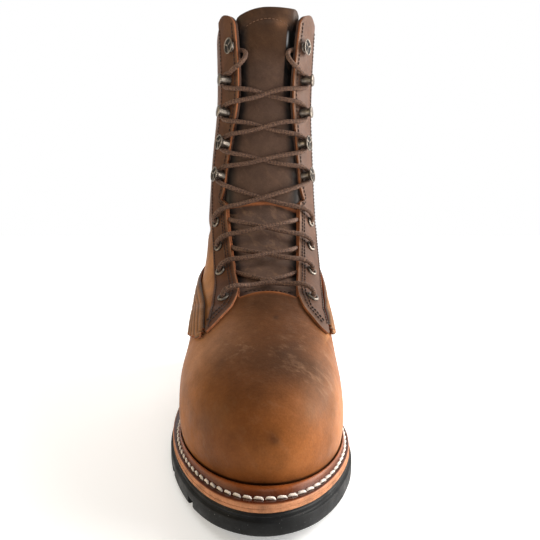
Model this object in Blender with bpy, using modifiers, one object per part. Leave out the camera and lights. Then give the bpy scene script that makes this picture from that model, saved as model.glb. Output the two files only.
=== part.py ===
"""A right work boot as separate solids: sole, welt, hollow upper, facings, tongue, metal and lace.

Metres, +Z up. The toe points to -Y and the medial side to +X. The origin is on the floor, under the
middle of the boot. A place along the foot is given as s, the distance forward of the heel's back.
"""

import bmesh
import bpy
import numpy as np
from mathutils import Vector

# Main sizes
SOLE_LENGTH = 0.302
HEEL_Y = SOLE_LENGTH / 2
GAP = 0.0003
UPPER_WALL = 0.0024
MIDSOLE_THICK = 0.0019
INSOLE_THICK = 0.003
INSOLE_CLEAR = 0.0006
FACING_THICK = 0.0016
TONGUE_THICK = 0.003
LACE_RADIUS = 0.00175
LACE_BEVEL_STEPS = 2
WELD = 0.00001

# Height of the midsole's top along the foot
SEAT_S = (0.0, 0.04, 0.08, 0.11, 0.15, 0.19, 0.225, 0.26, 0.285, 0.302)
SEAT_Z = (0.036, 0.0352, 0.031, 0.0245, 0.017, 0.014, 0.014, 0.0157, 0.0184, 0.0215)

# Height of the outsole's underside along the foot: heel seat, arch, flat tread, toe spring
TREAD_S = (0.0, 0.085, 0.1, 0.125, 0.142, 0.15, 0.232, 0.26, 0.285, 0.302)
TREAD_Z = (0.026, 0.0203, 0.0172, 0.008, 0.0015, 0.0, 0.0, 0.0015, 0.0046, 0.0085)

# Where along a ring its fullness is given: 0 at the back, 1 at the front
LATERAL_STATIONS = (0.0, 0.16, 0.42, 0.66, 1.0)
MEDIAL_STATIONS = (0.0, 0.16, 0.42, 0.72, 1.0)

# Plan of the sole's edge. Fullness is the half width that an oval would need at that station.
#            front_s back_s front_x back_x  back    heel  waist_l waist_m ball_l  ball_m  toe
SOLE_PLAN = (0.302, 0.0, 0.004, 0.001, 0.072, 0.0515, 0.0575, 0.0385, 0.0655, 0.0605, 0.0585)

# Rings of the upper's outer face, from the welt to the collar
# front_s front_z back_s back_z front_x back_x  back   heel waist_l waist_m ball_l ball_m  toe
UPPER_RINGS = (
    (0.2840, 0.0186, 0.010, 0.0361, 0.0050, 0.0015, 0.065, 0.0465, 0.0400, 0.0345, 0.0575, 0.0540, 0.0590),
    (0.2895, 0.0310, 0.005, 0.0470, 0.0050, 0.0015, 0.066, 0.0510, 0.0440, 0.0395, 0.0597, 0.0553, 0.0635),
    (0.2910, 0.0440, 0.003, 0.0580, 0.0050, 0.0015, 0.066, 0.0530, 0.0470, 0.0430, 0.0601, 0.0553, 0.0650),
    (0.2870, 0.0565, 0.004, 0.0690, 0.0050, 0.0015, 0.065, 0.0530, 0.0480, 0.0445, 0.0592, 0.0537, 0.0645),
    (0.2770, 0.0670, 0.007, 0.0790, 0.0052, 0.0015, 0.062, 0.0525, 0.0480, 0.0445, 0.0567, 0.0511, 0.0625),
    (0.2595, 0.0765, 0.010, 0.0880, 0.0054, 0.0015, 0.059, 0.0510, 0.0480, 0.0440, 0.0555, 0.0497, 0.0600),
    (0.2380, 0.0855, 0.013, 0.0960, 0.0058, 0.0015, 0.056, 0.0500, 0.0480, 0.0437, 0.0550, 0.0483, 0.0585),
    (0.2130, 0.0950, 0.015, 0.1040, 0.0060, 0.0015, 0.053, 0.0490, 0.0480, 0.0433, 0.0555, 0.0470, 0.0575),
    (0.1880, 0.1060, 0.017, 0.1130, 0.0058, 0.0015, 0.050, 0.0480, 0.0480, 0.0432, 0.0545, 0.0474, 0.0570),
    (0.1640, 0.1250, 0.019, 0.1300, 0.0040, 0.0015, 0.047, 0.0465, 0.0475, 0.0435, 0.0515, 0.0472, 0.0545),
    (0.1475, 0.1500, 0.019, 0.1520, 0.0024, 0.0018, 0.045, 0.0455, 0.0475, 0.0440, 0.0500, 0.0457, 0.0500),
    (0.1370, 0.1800, 0.017, 0.1800, 0.0015, 0.0020, 0.044, 0.0445, 0.0465, 0.0435, 0.0480, 0.0440, 0.0470),
    (0.1310, 0.2150, 0.013, 0.2120, 0.0022, 0.0022, 0.043, 0.0435, 0.0450, 0.0422, 0.0462, 0.0427, 0.0450),
    (0.1290, 0.2580, 0.009, 0.2450, 0.0040, 0.0025, 0.042, 0.0425, 0.0432, 0.0408, 0.0435, 0.0412, 0.0440),
    (0.1300, 0.3180, 0.007, 0.2790, 0.0055, 0.0028, 0.042, 0.0430, 0.0440, 0.0418, 0.0440, 0.0418, 0.0440),
)
THROAT_ROW = 8
COLLAR_ROW = len(UPPER_RINGS) - 1
SEAT_FADE_ROWS = 6

# Half width of the throat, by ring
COLUMNS = 48
COLUMN_STEP = 360.0 / COLUMNS
THROAT_COLUMN = 3
THROAT_ANGLE = THROAT_COLUMN * COLUMN_STEP
THROAT_ROWS = (8, 9, 10, 11, 12, 13, 14)
THROAT_HALF = (0.0205, 0.0245, 0.0275, 0.029, 0.0255, 0.021, 0.0255)

# Rings of the upper's mesh, and how far its collar drops at the throat, in rings
WALL_ROWS = (0, 0.9, 1.9, 2.9, 4.1, 5.3, 6.5, 7.25, 8, 8.5, 9, 9.5, 10, 10.5, 11, 11.5, 12, 13, 14)
COLLAR_BEND_ROW = 13
COLLAR_DROP_ANGLE = (22.5, 30.0, 37.5)
COLLAR_DROP = (0.16, 0.03, 0.0)
# How far the collar stands higher beside the throat, with the share of it by angle
COLLAR_RISE = 0.007
COLLAR_RISE_ANGLE = (26.0, 46.0, 75.0, 130.0)
COLLAR_RISE_SHARE = (0.0, 1.0, 0.7, 0.0)

# Section of the outsole's edge: outwards from the sole's plan, and above the tread or below the top
TREAD_EDGE = ((0.0004, 0.0), (0.0015, 0.0014))
SIDE_EDGE = ((0.0013, 0.0036), (-0.0002, 0.003), (-0.0005, 0.0))
GROOVE_WIDE = 0.0065
GROOVE_DEEP = 0.0045
GROOVE_LONG = 0.024
GROOVE_ANGLES = (-88.0, -72.0, -56.0, -38.0, 64.0, 78.0, 92.0)
BAR_GROOVES_S = (0.163, 0.2, 0.237, 0.268)
BAR_GROOVE_LONG = 0.046

# Heel lift
HEEL_LAST_COLUMN = 8
HEEL_EDGE_OUT = (0.0003, 0.0013, 0.0009)
HEEL_EDGE_RISE = 0.0014
HEEL_BREAST_HOLLOW = 0.004
HEEL_NOTCH_ANGLES = (128.0, 153.0)
HEEL_NOTCH_WIDE = 0.006
HEEL_NOTCH_LONG = 0.02
HEEL_NOTCH_DEEP = 0.006

# Section of the welt: share of the way from the upper to the edge, and height above the midsole
WELT_CLEAR = 0.00055
WELT_INSET = 0.0003
WELT_LOW = 0.0003
WELT_HIGH = 0.0021
WELT_SECTION = ((0.94, 0.0025), (0.5, 0.0027), (0.38, 0.0054), (0.2, 0.0068))
WELT_TOP_ROW = 0.55

# Facings along the throat: ring, angle of the front edge and of the back edge
#          row   front  back
FACING_LATERAL = (
    (5.7, 41.5, 43.0),
    (6.5, 33.0, 42.5),
    (7.25, 25.5, 42.5),
    (8.0, 22.5, 43.0),
    (8.5, 22.5, 43.5),
    (9.0, 22.5, 44.2),
    (9.5, 22.5, 45.0),
    (10.0, 22.5, 45.6),
    (10.5, 22.5, 46.2),
    (11.0, 22.5, 46.8),
    (11.5, 22.5, 47.4),
    (12.0, 22.5, 48.0),
    (13.0, 22.5, 49.5),
    (14.0, 22.5, 51.0),
)
FACING_MEDIAL = (
    (5.5, 46.5, 48.5),
    (6.0, 38.8, 49.0),
    (6.5, 33.0, 49.5),
    (7.25, 25.5, 50.0),
    (8.0, 22.5, 51.0),
    (8.5, 22.5, 52.5),
    (9.0, 22.5, 54.0),
    (9.5, 22.5, 55.0),
    (10.0, 22.5, 55.5),
    (10.5, 22.5, 55.5),
    (11.0, 22.5, 55.5),
    (11.5, 22.5, 55.5),
    (12.0, 22.5, 55.5),
    (13.0, 22.5, 55.0),
    (14.0, 22.5, 55.0),
)
FACING_STRIPS = 4

# Heel foxing: angle from the front, ring of its lower edge and of its upper edge
FOXING_ANGLE = (45.0, 52.5, 60.0, 67.5, 75.0, 82.5, 90.0, 105.0, 135.0, 180.0)
FOXING_LOW = (5.35, 5.12, 4.98, 4.8, 4.45, 3.85, 3.1, 1.5, 0.8, 0.8)
FOXING_HIGH = (5.7, 7.0, 7.45, 7.75, 8.0, 8.2, 8.35, 8.6, 8.9, 9.1)
FOXING_MEDIAL_SHIFT = 6.5
FOXING_STRIPS = 8
FOXING_LIFT = 0.0006

# Tongue
TONGUE_ANGLE = 33.0
TONGUE_STRIPS = 10
TONGUE_ROWS = (7.25, 8, 8.5, 9, 9.5, 10, 10.5, 11, 11.5, 12, 12.5, 13, 13.5, 14)
TONGUE_DEPTH_ROWS = (8, 11, 12, 13, 14)
TONGUE_DEPTH = (0.0029, 0.0029, 0.0036, 0.0068, 0.0072)
TONGUE_FLAT_ROWS = (8, 8.5, 10, 14)
TONGUE_FLAT = (0.0, 0.15, 0.5, 0.5)
TONGUE_TOP_ANGLE = (-33.0, -26.0, 26.0, 33.0)
TONGUE_TOP_DROP = (0.08, 0.0, 0.0, 0.06)

# Eyelets, from the bottom: ring, angle on the lateral side, angle on the medial side
EYELETS = ((7.45, 33.0, 35.5), (8.51, 35.5, 36.5), (9.31, 35.5, 37.5), (10.04, 37.0, 39.5))
EYELET_RADIUS = 0.0032
EYELET_ROUND = 0.0009
EYELET_STEPS = 12
EYELET_ROUND_STEPS = 5

# Hooks, from the bottom: ring, lateral and medial angle, and height as a share of the profile's
HOOKS = (
    (11.26, 26.5, 28.5, 1.0),
    (11.98, 26.5, 27.5, 1.0),
    (12.62, 33.5, 33.0, 1.0),
    (13.15, 34.5, 34.5, 1.0),
    (13.59, 28.5, 32.0, 0.55),
)
# Radius and height of the hook's turned profile
HOOK_PROFILE = (
    (0.0, 0.0),
    (0.0038, 0.0),
    (0.0038, 0.0008),
    (0.0023, 0.0011),
    (0.0023, 0.005),
    (0.0058, 0.0066),
    (0.0058, 0.0078),
    (0.0, 0.0078),
)
HOOK_STEPS = 8
METAL_CLEAR = 0.0004

# Lace: height of its centre line above the tongue's face, and its clearance over the facings' edges
LACE_LOW = 0.0023
LACE_CLEAR = 0.002
LACE_POINTS = 9
LACE_END_DEGREES = 6.0
LACE_TURN_ROWS = 0.11
LACE_DIVE_ANGLE = 17.0
LACE_DIVE_ROWS = 0.65
LACE_BAR_RISE = 0.8
# Free lace ends: angle, ring and height above the tongue's face
LACE_END_ROUTE = (
    (29.0, 13.22, 0.012),
    (26.5, 13.235, 0.0125),
    (24.0, 13.255, 0.0128),
    (21.6, 13.285, 0.0128),
    (19.4, 13.325, 0.0121),
    (17.8, 13.37, 0.0104),
    (17.2, 13.42, 0.0083),
    (17.8, 13.465, 0.0062),
    (19.6, 13.505, 0.0043),
    (22.2, 13.535, 0.0027),
    (25.4, 13.555, 0.0023),
    (29.0, 13.57, 0.0023),
)

# Colours, roughness and metallic value
LEATHER = ((0.13, 0.068, 0.04), 0.5, 0.0)
FACING_LEATHER = ((0.12, 0.065, 0.042), 0.55, 0.0)
TONGUE_LEATHER = ((0.062, 0.042, 0.032), 0.6, 0.0)
WELT_LEATHER = ((0.09, 0.03, 0.012), 0.45, 0.0)
MIDSOLE_TAN = ((0.42, 0.18, 0.075), 0.7, 0.0)
RUBBER = ((0.01, 0.011, 0.01), 0.65, 0.0)
BOARD = ((0.2, 0.16, 0.11), 0.85, 0.0)
NICKEL = ((0.45, 0.42, 0.38), 0.3, 1.0)
LACE_CORD = ((0.11, 0.055, 0.032), 0.85, 0.0)


def slopes_without_overshoot(knots, values):
    steps = np.diff(values) / np.diff(knots)
    slopes = np.zeros(len(knots))
    rising = steps[:-1] * steps[1:] > 0
    total = np.where(rising, steps[:-1] + steps[1:], 1)
    slopes[1:-1] = np.where(rising, 2 * steps[:-1] * steps[1:] / total, 0)
    slopes[0] = steps[0]
    slopes[-1] = steps[-1]
    return slopes


def steady(knots, values, at):
    """A curve through the knots that stays level where they do."""
    knots = np.asarray(knots)
    values = np.asarray(values)
    slopes = slopes_without_overshoot(knots, values)
    at = np.clip(at, knots[0], knots[-1])
    i = np.clip(np.searchsorted(knots, at, side="right") - 1, 0, len(knots) - 2)
    width = knots[i + 1] - knots[i]
    t = (at - knots[i]) / width
    rise = values[i + 1] - values[i]
    start = slopes[i] * width
    end = slopes[i + 1] * width
    return values[i] + t * (start + t * (3 * rise - 2 * start - end + t * (start + end - 2 * rise)))


def spline(knots, values, at):
    """Natural cubic through the knots. values has a row for each knot, maybe with a column for each point."""
    knots = np.asarray(knots, float)
    values = np.asarray(values, float)
    count = len(knots)
    width = np.diff(knots)
    system = np.eye(count)
    bend = np.zeros_like(values)
    for i in range(1, count - 1):
        system[i, i - 1 : i + 2] = width[i - 1], 2 * (width[i - 1] + width[i]), width[i]
        bend[i] = 6 * ((values[i + 1] - values[i]) / width[i] - (values[i] - values[i - 1]) / width[i - 1])
    bend = np.linalg.solve(system, bend)
    at = np.clip(at, knots[0], knots[-1])
    i = np.clip(np.searchsorted(knots, at, side="right") - 1, 0, count - 2)

    def pick(table, row):
        return table[row] if table.ndim == 1 else table[row, np.arange(len(row))]

    low = knots[i + 1] - at
    high = at - knots[i]
    gap = width[i]
    return (
        (pick(bend, i) * low**3 + pick(bend, i + 1) * high**3) / (6 * gap)
        + (pick(values, i) / gap - pick(bend, i) * gap / 6) * low
        + (pick(values, i + 1) / gap - pick(bend, i + 1) * gap / 6) * high
    )


def seat_height(s):
    return steady(SEAT_S, SEAT_Z, s)


def tread_height(s):
    return steady(TREAD_S, TREAD_Z, s)


def ring_plan(columns, degrees):
    """s, x and the share of the way forward, at angles from the ring's front, + to the medial side."""
    front_s, back_s, front_x, back_x, back, heel, waist_l, waist_m, ball_l, ball_m, toe = columns
    angle = np.radians(degrees)
    ahead = (1 + np.cos(angle)) / 2
    lateral = spline(LATERAL_STATIONS, np.array([back, heel, waist_l, ball_l, toe]), ahead)
    medial = spline(MEDIAL_STATIONS, np.array([back, heel, waist_m, ball_m, toe]), ahead)
    fullness = np.where(np.sin(angle) < 0, lateral, medial)
    s = back_s + (front_s - back_s) * ahead
    x = back_x + (front_x - back_x) * ahead + fullness * np.sin(angle)
    return s, x, ahead


def sole_edge(degrees):
    """s and x of the sole's edge, before the boot is centred."""
    columns = [np.full(len(degrees), value) for value in SOLE_PLAN]
    return ring_plan(columns, degrees)[:2]


def middle_x():
    reach = sole_edge(np.linspace(-180, 180, 721))[1]
    return (reach.max() + reach.min()) / 2


def grown(s, x, out):
    """The closed plan loop s, x moved outwards by out."""
    along_s = np.roll(s, -1) - np.roll(s, 1)
    along_x = np.roll(x, -1) - np.roll(x, 1)
    length = np.hypot(along_s, along_x)
    return s + out * along_x / length, x - out * along_s / length


MIDDLE_X = middle_x()


def points_of(s, x, z):
    return np.stack([x - MIDDLE_X, HEEL_Y - s, z + 0 * s], axis=-1)


def opened(degrees, row):
    """Angles spread back from the throat's edge, which is at THROAT_ANGLE in the flat pattern."""
    half = steady(THROAT_ROWS, THROAT_HALF, row)
    toe_fullness = np.array(UPPER_RINGS)[:, -1]
    full = spline(range(len(UPPER_RINGS)), toe_fullness, row)
    edge = np.degrees(np.arcsin(half / full))
    flat = np.clip(np.abs(degrees), THROAT_ANGLE, 180)
    beyond = edge + (flat - THROAT_ANGLE) * (180 - edge) / (180 - THROAT_ANGLE)
    inside = np.abs(degrees) * edge / THROAT_ANGLE
    return np.sign(degrees) * np.where(np.abs(degrees) < THROAT_ANGLE, inside, beyond)


def upper_face(degrees, row):
    """Points on the upper's outer face at pattern angles and ring numbers, which may lie between rings."""
    degrees = np.asarray(degrees, float)
    row = np.asarray(row, float)
    table = np.array(UPPER_RINGS)
    numbers = np.arange(len(table))
    columns = [spline(numbers, table[:, i], row) for i in range(table.shape[1])]
    front_s, front_z, back_s, back_z = columns[:4]
    s, x, ahead = ring_plan([front_s, back_s] + columns[4:], opened(degrees, row))
    z = back_z + (front_z - back_z) * ahead
    seat_line = seat_height(back_s) + (seat_height(front_s) - seat_height(back_s)) * ahead
    fade = np.clip(1 - row / SEAT_FADE_ROWS, 0, 1)
    rise = COLLAR_RISE * steady(COLLAR_RISE_ANGLE, COLLAR_RISE_SHARE, np.abs(degrees))
    above = np.clip(row - COLLAR_BEND_ROW, 0, 1)
    return points_of(s, x, z + fade * (seat_height(s) - seat_line) + rise * above**2)


def facing_out(surface, degrees, row):
    """Outward unit normals of a surface given by pattern angle and ring."""
    turn = 0.5
    climb = 0.05
    high = np.minimum(row + climb, COLLAR_ROW)
    low = np.maximum(row - climb, 0)
    around = surface(degrees + turn, row) - surface(degrees - turn, row)
    up = surface(degrees, high) - surface(degrees, low)
    normal = np.cross(around, up)
    return normal / np.linalg.norm(normal, axis=-1, keepdims=True)


def lifted(surface, degrees, row, lift):
    """Points off a surface, + outwards."""
    values = (np.atleast_1d(np.asarray(value, float)) for value in (degrees, row, lift))
    degrees, row, lift = np.broadcast_arrays(*values)
    return surface(degrees, row) + facing_out(surface, degrees, row) * lift[:, None]


def tongue_face(degrees, row):
    """The tongue's outer face: under the upper's wall, and drawn flatter across the throat."""
    depth = steady(TONGUE_DEPTH_ROWS, TONGUE_DEPTH, row)
    points = lifted(upper_face, degrees, row, -depth)
    across = np.clip(degrees / THROAT_ANGLE, -1, 1)
    lateral = lifted(upper_face, np.full_like(degrees, -THROAT_ANGLE), row, -depth)
    medial = lifted(upper_face, np.full_like(degrees, THROAT_ANGLE), row, -depth)
    chord_y = lateral[:, 1] + (medial[:, 1] - lateral[:, 1]) * (1 + across) / 2
    flat = steady(TONGUE_FLAT_ROWS, TONGUE_FLAT, row) * (np.abs(across) < 1)
    points[:, 1] += flat * (chord_y - points[:, 1])
    return points


def ring_angles():
    """Angles of the mesh's columns, from the toe round the medial side and back."""
    turned = np.arange(COLUMNS) * COLUMN_STEP
    return np.where(turned > 180, turned - 360, turned)


def collar_row(degrees, row):
    """The ring at a place on the upper, lower near the collar's front corners."""
    drop = steady(COLLAR_DROP_ANGLE, COLLAR_DROP, np.abs(degrees))
    above = np.maximum(row - COLLAR_BEND_ROW, 0)
    return row - above * drop


def material(name, look):
    colour, roughness, metallic = look
    made = bpy.data.materials.new(name)
    made.use_nodes = True
    shader = made.node_tree.nodes["Principled BSDF"]
    shader.inputs["Base Color"].default_value = (*colour, 1)
    shader.inputs["Roughness"].default_value = roughness
    shader.inputs["Metallic"].default_value = metallic
    made.diffuse_color = (*colour, 1)
    return made


def add_object(name, data, look, collection):
    made = bpy.data.objects.new(name, data)
    collection.objects.link(made)
    if look is not None:
        data.materials.append(material(name, look))
    return made


def mesh_of(name, points, faces):
    mesh = bpy.data.meshes.new(name)
    mesh.from_pydata(np.asarray(points).tolist(), [], faces)
    shape = bmesh.new()
    shape.from_mesh(mesh)
    loose = [corner for corner in shape.verts if not corner.link_faces]
    bmesh.ops.delete(shape, geom=loose, context="VERTS")
    shape.to_mesh(mesh)
    shape.free()
    mesh.shade_smooth()
    return mesh


def closed_mesh(name, points, faces):
    """A mesh whose faces are turned outwards."""
    mesh = mesh_of(name, points, faces)
    shape = bmesh.new()
    shape.from_mesh(mesh)
    bmesh.ops.recalc_face_normals(shape, faces=shape.faces)
    shape.to_mesh(mesh)
    shape.free()
    return mesh


def cap(loop):
    """Faces across a loop of even length that starts at its tip, joining its two sides."""
    half = len(loop) // 2
    faces = [(loop[0], loop[1], loop[-1])]
    faces += [(loop[i], loop[i + 1], loop[-i - 1], loop[-i]) for i in range(1, half - 1)]
    faces.append((loop[half - 1], loop[half], loop[half + 1]))
    return faces


def walls(count, loops, closed):
    """Quads between successive loops of count points."""
    faces = []
    for low in range(loops if closed else loops - 1):
        high = (low + 1) % loops
        for i in range(count):
            j = (i + 1) % count
            faces.append((low * count + i, low * count + j, high * count + j, high * count + i))
    return faces


def stacked(name, loops):
    """A solid through closed loops from bottom to top."""
    count = len(loops[0])
    last = (len(loops) - 1) * count
    faces = walls(count, len(loops), False)
    faces += cap(list(range(count))) + cap(list(range(last, last + count)))
    return closed_mesh(name, np.concatenate(loops), faces)


def sheet(name, grid):
    """An open sheet through rows of points."""
    rows, columns = grid.shape[:2]
    faces = []
    for i in range(rows - 1):
        for j in range(columns - 1):
            corner = i * columns + j
            faces.append((corner, corner + 1, corner + columns + 1, corner + columns))
    return mesh_of(name, grid.reshape(-1, 3), faces)


def thicken(made, thickness, offset):
    solid = made.modifiers.new("wall", "SOLIDIFY")
    solid.thickness = thickness
    solid.offset = offset


def cut(made, cutters):
    for cutter in cutters:
        step = made.modifiers.new(cutter.name, "BOOLEAN")
        step.operation = "DIFFERENCE"
        step.solver = "EXACT"
        step.object = cutter


def box_cutter(name, middle, size, turn, collection):
    """A box with its long side turned about the vertical."""
    bpy.ops.mesh.primitive_cube_add(size=1, location=middle, rotation=(0, 0, turn))
    made = bpy.context.object
    made.name = name
    made.scale = size
    for home in list(made.users_collection):
        home.objects.unlink(made)
    collection.objects.link(made)
    made.hide_render = True
    made.display_type = "WIRE"
    return made


def edge_groove(name, degrees, wide, deep, long, base, collection):
    """A groove from the sole's edge inwards, cut from below to deep above the underside there."""
    s, x = sole_edge(np.array([degrees - 1, degrees, degrees + 1]))
    around = points_of(s, x, 0)
    tangent = around[2] - around[0]
    inward = Vector((-tangent[1], tangent[0], 0)).normalized()
    height = base(s[1]) + deep
    centre = Vector(around[1]) + inward * (long / 2 - wide / 2)
    middle = (centre.x, centre.y, (height - deep) / 2)
    turn = np.arctan2(inward.y, inward.x)
    return box_cutter(name, middle, (long + wide, wide, height + deep), turn, collection)


def build_outsole(parts, cutters):
    s, x = sole_edge(ring_angles())
    top = seat_height(s) - MIDSOLE_THICK - GAP
    low = tread_height(s)
    loops = [points_of(*grown(s, x, out), low + rise) for out, rise in TREAD_EDGE]
    loops += [points_of(*grown(s, x, out), top - drop) for out, drop in SIDE_EDGE]
    made = add_object("outsole", stacked("outsole", loops), RUBBER, parts)
    grooves = []
    for i, degrees in enumerate(GROOVE_ANGLES):
        size = (GROOVE_WIDE, GROOVE_DEEP, GROOVE_LONG)
        grooves.append(edge_groove(f"groove_{i}", degrees, *size, tread_height, cutters))
    for i, place in enumerate(BAR_GROOVES_S):
        height = tread_height(place) + GROOVE_DEEP
        middle = (0, HEEL_Y - place, (height - GROOVE_DEEP) / 2)
        size = (BAR_GROOVE_LONG, GROOVE_WIDE, height + GROOVE_DEEP)
        grooves.append(box_cutter(f"bar_groove_{i}", middle, size, 0, cutters))
    cut(made, grooves)


def build_heel(parts, cutters):
    s, x = sole_edge(ring_angles())
    back = COLUMNS // 2
    lateral = list(range(back, back + HEEL_LAST_COLUMN + 1))
    medial = list(range(back - HEEL_LAST_COLUMN, back))
    top = tread_height(s) - GAP
    heights = (0 * s, 0 * s + HEEL_EDGE_RISE, top)
    loops = []
    for out, height in zip(HEEL_EDGE_OUT, heights):
        ring = points_of(*grown(s, x, out), height)
        breast = (ring[lateral[-1]] + ring[medial[0]]) / 2
        breast[1] += HEEL_BREAST_HOLLOW
        loops.append(np.concatenate([ring[lateral], breast[None], ring[medial]]))
    made = add_object("heel", stacked("heel", loops), RUBBER, parts)
    notches = []
    for degrees in HEEL_NOTCH_ANGLES:
        for side in (-1, 1):
            name = f"notch_{side}_{degrees:.0f}"
            size = (HEEL_NOTCH_WIDE, HEEL_NOTCH_DEEP, HEEL_NOTCH_LONG)
            notches.append(edge_groove(name, side * degrees, *size, lambda place: 0.0, cutters))
    cut(made, notches)


def build_midsole(parts):
    s, x = sole_edge(ring_angles())
    seat = seat_height(s)
    loops = [points_of(s, x, seat - MIDSOLE_THICK), points_of(s, x, seat)]
    add_object("midsole", stacked("midsole", loops), MIDSOLE_TAN, parts)


def plan_of(points):
    """s and x of points."""
    return HEEL_Y - points[:, 1], points[:, 0] + MIDDLE_X


def build_welt(parts):
    degrees = ring_angles()
    edge_s, edge_x = sole_edge(degrees)
    foot_s, foot_x = grown(*plan_of(upper_face(degrees, np.zeros(COLUMNS))), WELT_CLEAR)
    rib = upper_face(degrees, np.full(COLUMNS, WELT_TOP_ROW))
    rib_s, rib_x = grown(*plan_of(rib), WELT_CLEAR)
    out_s, out_x = grown(edge_s, edge_x, -WELT_INSET)
    loops = [points_of(foot_s, foot_x, seat_height(foot_s) + WELT_LOW)]
    loops += [points_of(out_s, out_x, seat_height(out_s) + rise) for rise in (WELT_LOW, WELT_HIGH)]
    for share, rise in WELT_SECTION:
        s = rib_s + (out_s - rib_s) * share
        x = rib_x + (out_x - rib_x) * share
        loops.append(points_of(s, x, seat_height(s) + rise))
    loops.append(points_of(rib_s, rib_x, rib[:, 2]))
    mesh = closed_mesh("welt", np.concatenate(loops), walls(COLUMNS, len(loops), True))
    add_object("welt", mesh, WELT_LEATHER, parts)


def build_insole(parts):
    s, x = grown(*plan_of(upper_face(ring_angles(), np.zeros(COLUMNS))), -UPPER_WALL - INSOLE_CLEAR)
    low = seat_height(s) + GAP
    loops = [points_of(s, x, low), points_of(s, x, low + INSOLE_THICK)]
    add_object("insole", stacked("insole", loops), BOARD, parts)


def build_upper(parts):
    degrees = ring_angles()
    grid = np.array([upper_face(degrees, collar_row(degrees, np.full(COLUMNS, row))) for row in WALL_ROWS])
    faces = []
    for i, row in enumerate(WALL_ROWS[:-1]):
        for j in range(COLUMNS):
            in_throat = j < THROAT_COLUMN or j >= COLUMNS - THROAT_COLUMN
            if row >= THROAT_ROW and in_throat:
                continue
            corner = i * COLUMNS + j
            after = i * COLUMNS + (j + 1) % COLUMNS
            faces.append((corner, after, after + COLUMNS, corner + COLUMNS))
    made = add_object("upper", mesh_of("upper", grid.reshape(-1, 3), faces), LEATHER, parts)
    thicken(made, UPPER_WALL, -1)


def panel_grid(side, table, strips):
    """Rows of points on an overlay's inner face, between its front and back edges."""
    grid = []
    for row, front, back in table:
        degrees = side * np.linspace(front, back, strips + 1)
        if side < 0:
            degrees = degrees[::-1]
        grid.append(lifted(upper_face, degrees, collar_row(degrees, np.full(len(degrees), row)), GAP))
    return np.array(grid)


def build_facings(parts):
    for name, side, table in (("eyestay_lateral", -1, FACING_LATERAL), ("eyestay_medial", 1, FACING_MEDIAL)):
        made = add_object(name, sheet(name, panel_grid(side, table, FACING_STRIPS)), FACING_LEATHER, parts)
        thicken(made, FACING_THICK, 1)


def build_foxing(parts):
    flat = np.arange(FOXING_ANGLE[0], 360 - FOXING_ANGLE[0] + 1, COLUMN_STEP)
    flat = np.where(flat > 180, flat - 360, flat)
    low = np.interp(np.abs(flat), FOXING_ANGLE, FOXING_LOW)
    high = np.interp(np.abs(flat), FOXING_ANGLE, FOXING_HIGH)
    behind = (180 - flat) / (180 - FOXING_ANGLE[0])
    degrees = flat + np.where(flat > 0, FOXING_MEDIAL_SHIFT * behind, 0)
    shares = np.linspace(0, 1, FOXING_STRIPS + 1)
    rows = [low + (high - low) * share for share in shares]
    grid = np.array([lifted(upper_face, degrees, row, FOXING_LIFT) for row in rows])
    made = add_object("heel_foxing", sheet("heel_foxing", grid), FACING_LEATHER, parts)
    thicken(made, FACING_THICK, 1)


def build_tongue(parts):
    degrees = np.linspace(-TONGUE_ANGLE, TONGUE_ANGLE, TONGUE_STRIPS + 1)
    grid = []
    for row in TONGUE_ROWS:
        above = max(row - COLLAR_BEND_ROW, 0)
        arched = row - above * steady(TONGUE_TOP_ANGLE, TONGUE_TOP_DROP, degrees)
        grid.append(tongue_face(degrees, arched))
    made = add_object("tongue", sheet("tongue", np.array(grid)), TONGUE_LEATHER, parts)
    thicken(made, TONGUE_THICK, -1)


def stand_on_facing(made, degrees, row):
    """Places a piece with its own Z along the facing's normal and its origin just off the leather."""
    at = np.array([degrees], float)
    ring = np.array([row], float)
    made.location = lifted(upper_face, at, ring, 2 * GAP + FACING_THICK + METAL_CLEAR)[0]
    out = Vector(facing_out(upper_face, at, ring)[0])
    made.rotation_euler = out.to_track_quat("Z", "Y").to_euler()


def build_eyelets(parts):
    for i, (row, lateral, medial) in enumerate(EYELETS, start=1):
        for side, degrees in (("lateral", -lateral), ("medial", medial)):
            bpy.ops.mesh.primitive_torus_add(
                major_radius=EYELET_RADIUS,
                minor_radius=EYELET_ROUND,
                major_segments=EYELET_STEPS,
                minor_segments=EYELET_ROUND_STEPS,
            )
            made = bpy.context.object
            made.name = f"eyelet_{i}_{side}"
            made.data.materials.append(material(made.name, NICKEL))
            made.data.shade_smooth()
            for home in list(made.users_collection):
                home.objects.unlink(made)
            parts.objects.link(made)
            stand_on_facing(made, degrees, row)
            out = made.rotation_euler.to_matrix() @ Vector((0, 0, EYELET_ROUND))
            made.location += out


def build_hooks(parts):
    for i, (row, lateral, medial, height) in enumerate(HOOKS, start=1):
        for side, degrees in (("lateral", -lateral), ("medial", medial)):
            name = f"hook_{i}_{side}"
            mesh = bpy.data.meshes.new(name)
            points = [(radius, 0, rise * height) for radius, rise in HOOK_PROFILE]
            mesh.from_pydata(points, [(k, k + 1) for k in range(len(points) - 1)], [])
            made = add_object(name, mesh, NICKEL, parts)
            turn = made.modifiers.new("turn", "SCREW")
            turn.axis = "Z"
            turn.steps = HOOK_STEPS
            turn.render_steps = HOOK_STEPS
            turn.use_merge_vertices = True
            turn.merge_threshold = WELD
            turn.use_normal_flip = True
            turn.use_smooth_shade = True
            stand_on_facing(made, degrees, row)


def lace_height(degrees, row):
    """Height of the lace's centre line over the tongue's face: low in the middle, higher over the facings."""
    depth = steady(TONGUE_DEPTH_ROWS, TONGUE_DEPTH, row)
    high = depth + GAP + FACING_THICK + LACE_RADIUS + LACE_CLEAR
    return LACE_LOW + (high - LACE_LOW) * np.clip(np.abs(degrees) / THROAT_ANGLE, 0, 1) ** 3


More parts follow.
